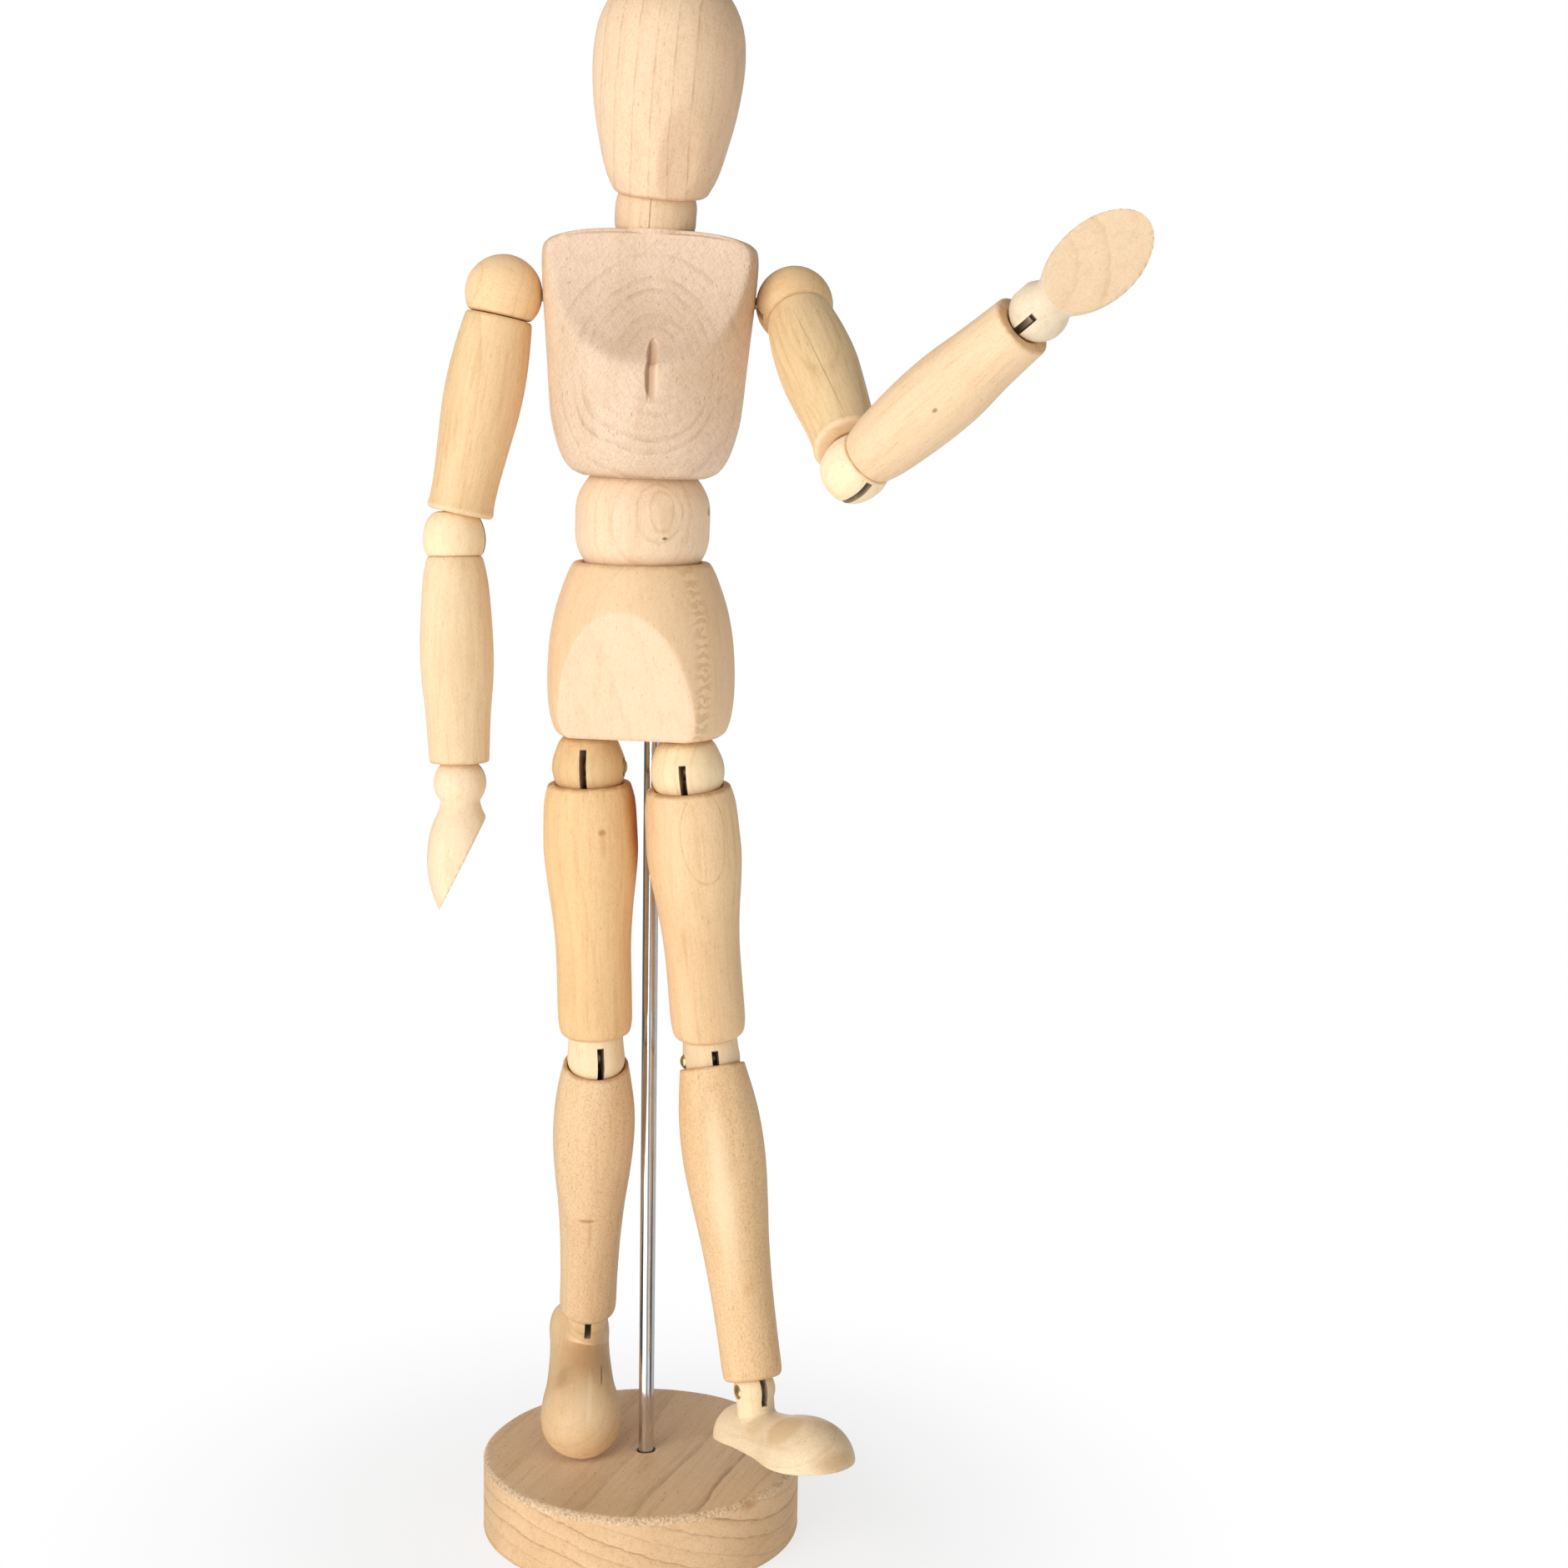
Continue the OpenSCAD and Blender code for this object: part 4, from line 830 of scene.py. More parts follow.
# neck
zc = math.sqrt(neck_r ** 2 - 7.45 ** 2)
prof = path([[[0, -6.2]], arc(0, neck_r, -6.2, -zc, 10), line([7.45, -zc], [7.45, zc], 5), arc(0, neck_r, zc, 6.2, 10), [[0, 6.2]]], [0.4, 1.0, 1.0, 0.4])
tools = [saw_box((-slot_w / 2, -4.4, -8), (slot_w / 2, 4.4, 0), 6, 0.02), drill((-slot_w / 2 - 0.09, 0, 0), (slot_w / 2 + 0.09, 0, 0), 2.2), drill((-5.1, 0, 0), (9, 0, 0), 0.83)]
M_NECK = wood("neck_wood", rgb(228, 196, 160), rgb(176, 134, 90), 11, pith=(26, -20, 0), period=2.6, ring=0.25, fibre=0.5, fleck=0.3, speckle=0.45,
              marks=[dict(kind="soft", at=(-0.76, -7.4, 0.4), n=(-0.1, -1, 0), w=0.15, h=5.2, deep=1.5, tone=rgb(128, 88, 54), amount=0.6, jit=0.8, wob=0.7, sunk=0.5)])
piece("neck", turned_rows(prof, 112, 13, 0.02), M_NECK, tools)

# head: egg with two flats that meet in a blunt ridge
rh, hh = head_d / 2, head_h
prof = curve([[7.9, 3.6], [8.6, 4.1], [9.15, 5.1], [0.735 * rh, 0.16 * hh], [0.81 * rh, 0.235 * hh], [0.925 * rh, 0.39 * hh], [0.985 * rh, 0.52 * hh], [rh, 0.63 * hh],
              [0.97 * rh, 0.735 * hh], [0.885 * rh, 0.82 * hh], [0.745 * rh, 0.89 * hh], [0.53 * rh, 0.947 * hh], [0.25 * rh, 0.985 * hh], [0, hh]], 8)
seg = 192
th = np.linspace(0, 2 * math.pi, seg, endpoint=False)
rows = []
for q, z in arc(0, 8.0, 8.0, 3.6, 10):
    rows.append(np.array([[0, 0, z]]) if q < 1e-3 else np.c_[q * np.cos(th), q * np.sin(th), np.full(seg, z)])
for r, z in prof:
    if r < 1e-3:
        rows.append(np.array([[head_x, 0, z]]))
        continue
    d = 8.2 + (z - 2.6) * math.tan(math.radians(16))
    rr = smin(np.full(seg, float(r)), smin(plane_cut(d, math.radians(-21)), plane_cut(d, math.radians(21)), 0.3), 0.25)
    rr = rr + 0.035 * (lumps(np.c_[rr * np.cos(th), rr * np.sin(th), np.full(seg, z)], 19, 11.0) - 0.6) * min(1.0, r / 5)
    rows.append(np.c_[head_x + rr * np.cos(th), rr * np.sin(th), np.full(seg, z)])
def head_shade_over(g, P, S, col):
    """Painted shade on the side turned from the light: the flat on that side of the face is a little browner, the
    turned surface beside it a little greyer.
    """
    x, y, z = g.split(P)[:3]
    reach_ = g.math("ADD", g.math("MULTIPLY", z, math.tan(math.radians(16))), 8.2 - 2.6 * math.tan(math.radians(16)))
    lead = g.math("SUBTRACT", g.math("SUBTRACT", g.math("MULTIPLY", g.math("SUBTRACT", x, head_x), 0.358), g.math("MULTIPLY", y, 0.934)), reach_)
    flat = g.step(lead, -0.28, -0.1)
    # painted shade: the flat and the turned surface on the side away from the light are darkened
    col = g.mix(flat, col, g.mix(1.0, col, (0.955, 0.925, 0.90, 1.0), "MULTIPLY"))
    shaded_side = g.math("MULTIPLY", g.step(x, 3.0, 9.0), g.math("SUBTRACT", 1.0, flat))
    return g.mix(shaded_side, col, g.mix(1.0, col, (0.95, 0.93, 0.90, 1.0), "MULTIPLY"))


M_HEAD = wood("head_wood", rgb(235, 204, 171), rgb(172, 128, 84), 13, pith=(60, -12, 0), axis=(0.02, 0.01, 1), period=3.3, phase=0.45, ring=0.46, warp=0.9,
              fibre=0.55, fleck=0.35, blotch=0.4, speckle=0.48, rough=0.58, line=0.06, broken=0.75, vary=0.1, over=head_shade_over,
              rims=[(3.6, 0.7, 0.4, rgb(196, 154, 108))])
piece("head", rows, M_HEAD, [drill((0, 0, 5), (0, 0, 15.4), 1.66)], sharp=44)

# ------------------------------------------------------------------ arms
ARM = {
    "right": dict(cap=rgb(242, 206, 158), cap_d=rgb(196, 150, 96), ua=rgb(233, 199, 152), ua_d=rgb(190, 142, 86), el=rgb(246, 221, 180), el_d=rgb(212, 174, 124),
                  fa=rgb(239, 210, 169), fa_d=rgb(210, 172, 122), ha=rgb(243, 217, 181), ha_d=rgb(212, 174, 126)),
    "left": dict(cap=rgb(230, 194, 146), cap_d=rgb(186, 140, 88), ua=rgb(239, 208, 160), ua_d=rgb(196, 148, 90), el=rgb(248, 226, 188), el_d=rgb(212, 174, 124),
                 fa=rgb(235, 203, 164), fa_d=rgb(206, 166, 114), ha=rgb(219, 191, 156), ha_d=rgb(190, 152, 106)),
}
for k, (sd, c) in enumerate(ARM.items()):
    s = POSE[sd]["s"]
    # shoulder cap
    prof = path([[[0, -11.0]], line([2.2, -11.0], [2.2, -4.1], 4), line([2.2, -4.1], [math.sqrt(cap_r ** 2 - 4.1 ** 2), -4.1], 3), arc(0, cap_r, -4.1, cap_r, 26)], [0.3, 0.0, 0.75])
    x0, x1 = (-1.75, 8.0) if s < 0 else (-8.0, 1.75)
    tools = [saw_box((x0, -slot_w / 2, -2.7), (x1, slot_w / 2, 9.3), 21 + k, 0.03), drill((0, -slot_w / 2 - 0.09, 0), (0, slot_w / 2 + 0.09, 0), 2.2)] + pin_tools(1, 1, 6.8, 5, 1.7)
    mat = wood(sd + "_cap_wood", c["cap"], c["cap_d"], 15 + k, pith=(18 * s, -16, 22), axis=(1.0, 0.25, 0.25), period=2.3, ring=0.25, fibre=0.5, fleck=0.3, speckle=0.32,
               turn=(0, 78, 0), slot=None, rims=[(-4.1, 0.7, 0.5, rgb(190, 144, 92))])
    piece(sd + "_shoulder", turned_rows(prof, 112, 21 + k), mat, tools)
    # upper arm
    r, b = upper_arm_d / 2, -(upper_arm_l - elbow_up)
    lip = 0.5 if sd == "right" else 0.06
    body = curve([[0.83 * r, b - lip], [0.85 * r, b + 0.9 - lip], [0.825 * r, b + 2.2], [0.845 * r, 0.84 * b], [0.91 * r, 0.7 * b], [0.985 * r, 0.54 * b], [r, 0.42 * b],
                  [0.965 * r, 0.29 * b], [0.895 * r, 0.17 * b], [0.845 * r, -4.4]])
    sock = math.sqrt(6.45 ** 2 - (elbow_up - lip) ** 2)
    prof = path([arc(-upper_arm_l, 6.45, -upper_arm_l + 6.45, b - lip, 8), line([sock, b - lip], [0.83 * r, b - lip], 4), body, line([0.845 * r, -4.28], [2.25, -4.28], 4), [[2.25, -11.4]], [[0, -11.4]]],
                [0.2, 0.75, 0.4, 0.0, 0.0])
    marks = [dict(kind="soft", at=(-4.9, -4.0, -24.0), n=(-0.8, -0.6, 0), up=(0.07, -0.03, -1), w=0.13, h=17, deep=3, tone=rgb(160, 114, 66), amount=0.45, jit=0.7, wob=0.4)] if sd == "left" else \
            [dict(kind="soft", at=(-6.9, 1.5, -14.0), n=(-0.965, 0.216, 0), w=0.5, h=6, deep=3, tone=rgb(214, 168, 108), amount=0.5, jit=0.6)]
    mat = wood(sd + "_upper_arm_wood", c["ua"], c["ua_d"], 17 + k, pith=(26 * s, 24, 0), axis=(0.05 * s, 0.03, 1), period=2.7, ring=0.24, fibre=0.85, fleck=0.3, speckle=0.36,
               rims=[(b, 0.75, 0.7, rgb(240, 212, 180)), (-4.4, 0.7, 0.4, rgb(196, 150, 98))], marks=marks)
    piece(sd + "_upper_arm", turned_rows(prof, 120, 23 + k), mat)
    # elbow bead
    prof = path([[[0, -elbow_dn]], line([0.1, -elbow_dn], [5.08, -elbow_dn], 3), curve([[5.08, -elbow_dn], [5.6, -1.4], [5.8, 0.2], [5.55, 2.2], [4.98, 3.8], [4.3, 4.7], [3.4, 5.3], [1.7, 5.5], [0, 5.5]], 5)], [0.0, 0.35])
    tools = [saw_box((-slot_w / 2, -12, -2.2), (slot_w / 2, 12, 8), 25 + k, 0.05), drill((-slot_w / 2 - 0.09, 0, 0), (slot_w / 2 + 0.09, 0, 0), 2.2)] + pin_tools(1, 0, 5.3, 4.4, 1.5)
    mat = wood(sd + "_elbow_wood", c["el"], c["el_d"], 19 + k, pith=(16, -20, 0), period=2.2, ring=0.2, fibre=0.5, fleck=0.22, speckle=0.26, slot=(-2.2, 9.0),
               rims=[(-elbow_dn, 0.5, 0.5, rgb(200, 156, 102))])
    piece(sd + "_elbow", turned_rows(prof, 112, 25 + k, 0.02), mat, tools)
    # forearm
    r, b = forearm_d / 2, -(forearm_l - wrist_up)
    body = curve([[0.79 * r, b], [0.82 * r, b + 0.6], [0.84 * r, 0.92 * b], [0.9 * r, 0.76 * b], [0.975 * r, 0.63 * b], [r, 0.52 * b], [0.98 * r, 0.38 * b],
                  [0.9 * r, 0.2 * b], [0.8 * r, 0.1 * b], [0.72 * r, -elbow_dn]])
    sock = math.sqrt(5.2 ** 2 - wrist_up ** 2)
    prof = path([arc(-forearm_l, 5.2, -forearm_l + 5.2, b, 10), line([sock, b], [0.79 * r, b], 3), body, [[0, -elbow_dn]]], [0.25, 0.35, 0.3])
    marks = [dict(kind="knot", at=(-3.5, 5.78, -22.5), n=(-0.5, 0.85, 0), w=0.5, h=0.75, deep=2, tone=rgb(132, 88, 46), amount=0.75, jit=0.7, wob=0.8, sunk=0.6)] if sd == "left" else \
            [dict(kind="soft", at=(-5.6, -3.4, -20.0), n=(-0.85, -0.52, 0), w=0.8, h=9, deep=3, tone=rgb(224, 186, 134), amount=0.4, jit=0.6)]
    mat = wood(sd + "_forearm_wood", c["fa"], c["fa_d"], 21 + k, pith=(-22 * s, 30, 0), axis=(-0.03, 0.04, 1), period=3.0, ring=0.2, fibre=0.65, fleck=0.3, speckle=0.36,
               rims=[(b, 0.9, 0.55, rgb(196, 150, 98)), (-elbow_dn, 0.6, 0.45, rgb(200, 156, 104))], marks=marks)
    piece(sd + "_forearm", turned_rows(prof, 120, 27 + k), mat, [drill((0, 0, -forearm_l + 3), (0, 0, -forearm_l + 17), 1.26)])
    # hand: ball, neck and flat slanting palm
    pear = curve([[3.2, -2.5], [3.75, -4], [4.2, -5.4], [5.05, -7.2], [5.95, -10], [6.4, -13.5], [6.3, -17], [5.75, -20], [5, -22.5], [4, -24.5], [2.5, -26.2], [0, -27]], 8)
    pr_, pz_ = np.array([q[0] for q in pear])[::-1], np.array([q[1] for q in pear])[::-1]

    def hand_r(z):
        ball = math.sqrt(max(wrist_r ** 2 - z * z, 0.0))
        p_ = float(np.interp(z, pz_, pr_)) if z < -2.5 else 0.0
        return -float(smin(np.array(-ball), np.array(-p_), 0.7)) if z < -2.0 else ball

    seg = 128
    th = np.linspace(0, 2 * math.pi, seg, endpoint=False)

    def palm_y(z):
        return -4.7 + (-6.7 - z) * math.tan(math.radians(27.9))

    z_end = -26.9
    while palm_y(z_end) > hand_r(z_end) - 0.02:
        z_end += 0.02
    rows = [np.array([[0, 0, wrist_r]])]
    za = [wrist_r * math.cos(math.radians(a)) for a in np.linspace(4, 88, 22)]
    zs = za + list(np.linspace(0.0, -4.6, 14)) + list(np.linspace(-5.0, z_end + 0.6, 44)) + list(np.linspace(z_end + 0.5, z_end + 0.03, 6))
    for z in zs:
        r = hand_r(z)
        py = palm_y(z)
        if py < -r:
            cy = 0.0
        else:
            cy = 0.5 * (py + r)
        ux, uy = np.cos(th), np.sin(th)
        t1 = -cy * uy + np.sqrt(np.maximum((cy * uy) ** 2 - cy * cy + r * r, 0))
        t2 = np.where(uy < -0.02, (cy - py) / np.maximum(-uy, 0.02), 1e3)
        half = max(0.02, r - max(py, -r))
        tt = smin(t1, t2, min(0.5, 0.35 * half))
        rows.append(np.c_[tt * ux, cy + tt * uy, np.full(seg, z)])
    rows.append(np.array([[0, hand_r(z_end), z_end]]))
    tools = [saw_box((-slot_w / 2, -9, -1.9), (slot_w / 2, 9, 8), 29 + k, 0.05), drill((-slot_w / 2 - 0.09, 0, 0), (slot_w / 2 + 0.09, 0, 0), 2.1)] + pin_tools(1, 0, 4.5, 3.6, 1.3)
    if sd == "right":
        wd = dict(pith=(-30, 14, -10), axis=(0.12, 0.3, 1), period=3.3, ring=0.28)
    else:
        # cream turned skin round a warmer sanded palm whose rings cross it
        def hand_skin(g, P, S, col):
            xyz = g.split(P)
            lift = g.math("ADD", g.math("ADD", xyz[1], 8.25), g.math("MULTIPLY", xyz[2], 0.5295))
            return g.mix(g.step(lift, 0.15, 0.5), col, (1.12, 1.26, 1.42, 1.0), "MULTIPLY")

        wd = dict(pith=(6.4, 0, -5.9), axis=(0.0, 1, 0.05), period=4.8, phase=0.25, ring=0.36, over=hand_skin)
    mat = wood(sd + "_hand_wood", c["ha"], c["ha_d"], 23 + k, fibre=0.4, fleck=0.28, speckle=0.34, slot=(-1.9, 9.0), **wd)
    piece(sd + "_hand", rows, mat, tools, sharp=40)

# ------------------------------------------------------------------ legs
LEG = {
    "right": dict(hip=rgb(226, 189, 138), hip_d=rgb(158, 110, 62), th=rgb(235, 195, 143), th_d=rgb(198, 144, 84), kn=rgb(241, 214, 174), kn_d=rgb(212, 174, 124),
                  sh=rgb(228, 193, 150), sh_d=rgb(182, 138, 92), an=rgb(232, 200, 152), an_d=rgb(190, 148, 100), ft=rgb(230, 194, 148), ft_d=rgb(172, 128, 82)),
    "left": dict(hip=rgb(243, 217, 174), hip_d=rgb(204, 162, 112), th=rgb(235, 199, 154), th_d=rgb(198, 150, 98), kn=rgb(231, 203, 164), kn_d=rgb(200, 158, 108),
                 sh=rgb(234, 196, 149), sh_d=rgb(194, 146, 94), an=rgb(244, 220, 178), an_d=rgb(206, 166, 114), ft=rgb(240, 214, 176), ft_d=rgb(192, 150, 102)),
}
for k, (sd, c) in enumerate(LEG.items()):
    s = POSE[sd]["s"]
    # hip ball with a peg, fuller toward the pelvis
    prof = path([arc(0, hip_r, -hip_r, 2.2, 26), curve([[math.sqrt(hip_r ** 2 - 2.2 ** 2), 2.2], [6.15, 3.4], [5.65, 4.6], [5.05, 5.5]], 5)[0:], line([4.6, 5.85], [2.2, 5.85], 3), [[2.2, 16.0]], [[0, 16.0]]],
                [0.0, 0.25, 0.0, 0.2])
    top = 3.9 if s < 0 else 1.8
    tools = [saw_box((-slot_w / 2, -12, -9), (slot_w / 2, 12, top), 31 + k, 0.06), drill((-slot_w / 2 - 0.09, 0, 0), (slot_w / 2 + 0.09, 0, 0), 2.4)] + pin_tools(-s, 0, 6.9, 5.4, 1.7)
    # painted highlight: the pale patch near the top of the right hip ball stands for a shine on glue
    marks = [dict(kind="soft", at=(0.6, -4.6, 5.4), n=(0, -0.6, 0.8), w=3.6, h=1.3, deep=3, tone=rgb(236, 206, 160), amount=0.55, jit=0.9, wob=0.5)] if sd == "right" else []
    # the dark reddish brown given for the hip slot's inner walls is painted shade
    mat = wood(sd + "_hip_wood", c["hip"], c["hip_d"], 31 + k, pith=(20, -18, 0), period=2.2, ring=0.25, fibre=0.55, fleck=0.25, speckle=0.28, slot=(-9.0, top), slot_shade=(0.34, 0.16, 0.05, 1.0), rough=0.5, marks=marks,
               rims=[(5.6, 0.9, 0.5, rgb(170, 120, 70))])
    piece(sd + "_hip", turned_rows(prof, 120, 31 + k, 0.02), mat, tools)
    # thigh
    r, b = thigh_d / 2, -(thigh_l - knee_up)
    body = curve([[0.62 * r, b], [0.735 * r, b + 0.7], [0.785 * r, b + 2.4], [0.8 * r, 0.9 * b], [0.8 * r, 0.72 * b], [0.82 * r, 0.62 * b], [0.87 * r, 0.52 * b], [0.94 * r, 0.42 * b],
                  [0.993 * r, 0.33 * b], [r, 0.26 * b], [0.965 * r, 0.13 * b], [0.87 * r, -hip_dn]])
    sock = math.sqrt(7.25 ** 2 - hip_dn ** 2)
    prof = path([[[0, b]], body, line([0.87 * r, -hip_dn], [sock, -hip_dn], 3), arc(0, 7.25, -hip_dn, -7.25, 14)], [0.25, 0.5, 0.3])
    if sd == "right":
        marks = [dict(kind="haze", at=(3.62, -8.1, -11.2), n=(0.4, -0.9, 0), w=0.95, h=0.85, deep=2, tone=rgb(164, 104, 50), amount=0.8, jit=0.7, wob=0.6),
                 dict(kind="haze", at=(3.7, -8.1, -13.0), n=(0.4, -0.9, 0), w=0.8, h=3.4, deep=2, tone=rgb(210, 158, 94), amount=0.45, jit=0.6, wob=0.4),
                 # painted reflected light: the saturated orange patch on the inner side stands for warm bounce light
                 # from the left thigh
                 dict(kind="haze", at=(9.2, -0.2, -9.0), n=(1, -0.1, 0), w=5.0, h=15.0, deep=5, tone=rgb(182, 106, 8), amount=1.0, jit=0.5, wob=0.2)]
        wd = dict(pith=(-24, 26, 0), period=3.0, phase=0.0, ring=0.2)
    else:
        marks = [dict(kind="oval", at=(3.3, -8.2, -11.2), n=(0.38, -0.92, 0), w=4.3, h=9.2, deep=6, tone=rgb(190, 142, 90), amount=0.45, line=0.03, jit=0.22, wob=0.12),
                 dict(kind="haze", at=(-2.3, -7.0, -31.3), n=(-0.3, -0.95, 0), w=0.8, h=3.6, deep=2, tone=rgb(212, 160, 102), amount=0.5, jit=0.7, wob=0.6)]
        wd = dict(pith=(26, -50, 0), period=3.4, phase=0.62, ring=0.16)
    mat = wood(sd + "_thigh_wood", c["th"], c["th_d"], 33 + k, axis=(0.02, 0.02, 1), fibre=0.7, fleck=0.32, speckle=0.42, warp=1.0,
               rims=[(-hip_dn, 0.9, 0.7, rgb(176, 124, 70)), (b, 0.8, 0.45, rgb(196, 150, 98))], marks=marks, **wd)
    piece(sd + "_thigh", turned_rows(prof, 128, 33 + k), mat)
    # knee ball with a fuller neck
    prof = path([arc(0, knee_r, -knee_r, 1.4, 24), curve([[math.sqrt(knee_r ** 2 - 1.4 ** 2), 1.4], [4.96, 2.6], [4.5, 3.5], [4.3, knee_up]], 5), [[0, knee_up]]], [0.0, 0.12])
    tools = [saw_box((-slot_w / 2, -12, -8), (slot_w / 2, 12, 3.0), 35 + k, 0.05), drill((-slot_w / 2 - 0.09, 0, 0), (slot_w / 2 + 0.09, 0, 0), 2.2)] + pin_tools(-s, 0, 5.5, 4.2, 1.5)
    mat = wood(sd + "_knee_wood", c["kn"], c["kn_d"], 35 + k, pith=(-18, -18, 0), period=2.1, ring=0.18, fibre=0.55, fleck=0.22, speckle=0.28, slot=(-9.0, 3.0),
               rims=[(knee_up, 0.5, 0.45, rgb(204, 160, 106))])
    rows = turned_rows(prof, 112, 35 + k, 0.02)
    for row in rows:
        z = row[0, 2]
        if z > 0.5 and len(row) > 1 and np.hypot(row[0, 0], row[0, 1]) > 3.0:
            rad = np.hypot(row[:, 0], row[:, 1])
            w = np.clip((0.8 - row[:, 1] / rad) / 0.45, 0, 1)
            w = w * w * (3 - 2 * w)
            full = 5.47 - 0.055 * z
            row[:, :2] *= (1 + w * np.maximum(full / rad.max() - 1, 0.0))[:, None]
    piece(sd + "_knee", rows, mat, tools)
    # shin
    r, b = shin_d / 2, -(shin_l - ankle_up)
    body = curve([[0.64 * r, b], [0.7 * r, b + 0.7], [0.718 * r, b + 2.6], [0.725 * r, 0.86 * b], [0.755 * r, 0.72 * b], [0.82 * r, 0.58 * b], [0.91 * r, 0.465 * b], [0.98 * r, 0.36 * b],
                  [r, 0.27 * b], [0.97 * r, 0.18 * b], [0.89 * r, 0.1 * b], [0.79 * r, -knee_dn]])
    sock = math.sqrt(5.85 ** 2 - knee_dn ** 2)
    low = math.sqrt(4.3 ** 2 - ankle_up ** 2)
    prof = path([arc(-shin_l, 4.3, -shin_l + 4.3, b, 8), line([low, b], [0.64 * r, b], 3), body, line([0.79 * r, -knee_dn], [sock, -knee_dn], 2), arc(0, 5.85, -knee_dn, -5.85, 14)],
                [0.2, 0.25, 0.3, 0.2])
    if sd == "right":
        marks = [dict(kind="haze", at=(-1.9, -6.4, -34.2), n=(-0.3, -0.95, 0), up=(1, 0, 0.1), w=0.55, h=2.7, deep=2, tone=rgb(160, 108, 64), amount=0.62, jit=1.0, wob=0.8),
                 dict(kind="haze", at=(-1.3, -6.4, -37.5), n=(-0.2, -1, 0), w=0.5, h=4.5, deep=2, tone=rgb(190, 142, 94), amount=0.5, jit=0.9, wob=0.5)]
        wd = dict(pith=(24, 28, 0), period=2.8, ring=0.16)
    else:
        marks = [dict(kind="haze", at=(-2.2, -7.0, -25.0), n=(-0.3, -0.95, 0), w=3.2, h=22, deep=7, tone=rgb(248, 222, 182), amount=0.6, jit=0.4, wob=0.15),
                 dict(kind="haze", at=(0.6, -7.0, -44.0), n=(0.1, -1, 0), w=2.0, h=1.6, deep=3, tone=rgb(212, 164, 112), amount=0.45, jit=0.9, wob=0.5)]
        wd = dict(pith=(-14, -52, 0), period=3.2, phase=0.2, ring=0.18)
    mat = wood(sd + "_shin_wood", c["sh"], c["sh_d"], 37 + k, axis=(0.02, 0.03, 1), fibre=0.5, fleck=0.5, speckle=0.9, warp=1.0,
               rims=[(-knee_dn, 0.8, 0.65, rgb(176, 126, 76)), (b, 0.8, 0.45, rgb(188, 142, 92))], marks=marks, **wd)
    piece(sd + "_shin", turned_rows(prof, 124, 37 + k), mat, [drill((0, 0, -shin_l + 3), (0, 0, -shin_l + 16), 1.26)])
    # ankle peg
    prof = path([[[0, -7.0]], line([3.6, -7.0], [3.6, -1.9], 6), arc(0, ankle_r, -1.74, ankle_r, 20)], [0.0, 0.3])
    tools = [saw_box((-slot_w / 2, -8, -2.7), (slot_w / 2, 8, 7), 39 + k, 0.05), drill((-slot_w / 2 - 0.09, 0, 0), (slot_w / 2 + 0.09, 0, 0), 2.1)] + pin_tools(-s, 0, 4.0, 2.9, 1.2)
    mat = wood(sd + "_ankle_wood", c["an"], c["an_d"], 39 + k, pith=(14, -16, 0), period=1.9, ring=0.2, fibre=0.5, fleck=0.2, speckle=0.24, slot=(-2.7, 9.0))
    piece(sd + "_ankle", turned_rows(prof, 96, 39 + k, 0.015), mat, tools)
    # foot: half of a turned pear, flat side down
    r = foot_w / 2
    prof = curve([[0.5 * r, -heel], [0.7 * r, 1.5 - heel], [0.765 * r, -5], [0.75 * r, -1.5], [0.77 * r, 3], [0.84 * r, 9], [0.95 * r, 13.5], [r, 17.5], [0.93 * r, 21.5],
                  [0.71 * r, 24.7], [0.38 * r, 26.8], [0, 27.5]], 8)
    fr, fs = np.array([q[0] for q in prof]), np.array([q[1] for q in prof])
    fx = POSE[sd]["foot_x"]
    seg = 112
    th = np.linspace(0, 2 * math.pi, seg, endpoint=False)
    ux, uz = np.cos(th), np.sin(th)

    def section(rad, along, shrink=1.0):
        cz = 0.42 * rad
        t1 = -cz * uz + np.sqrt(np.maximum((cz * uz) ** 2 - cz * cz + rad * rad, 0))
        t2 = np.where(uz < -0.02, cz / np.maximum(-uz, 0.02), 1e3)
        tt = smin(t1, t2, min(0.55, 0.25 * rad)) * shrink
        return np.c_[fx + tt * ux, np.full(seg, -along), -sole + cz + tt * uz]

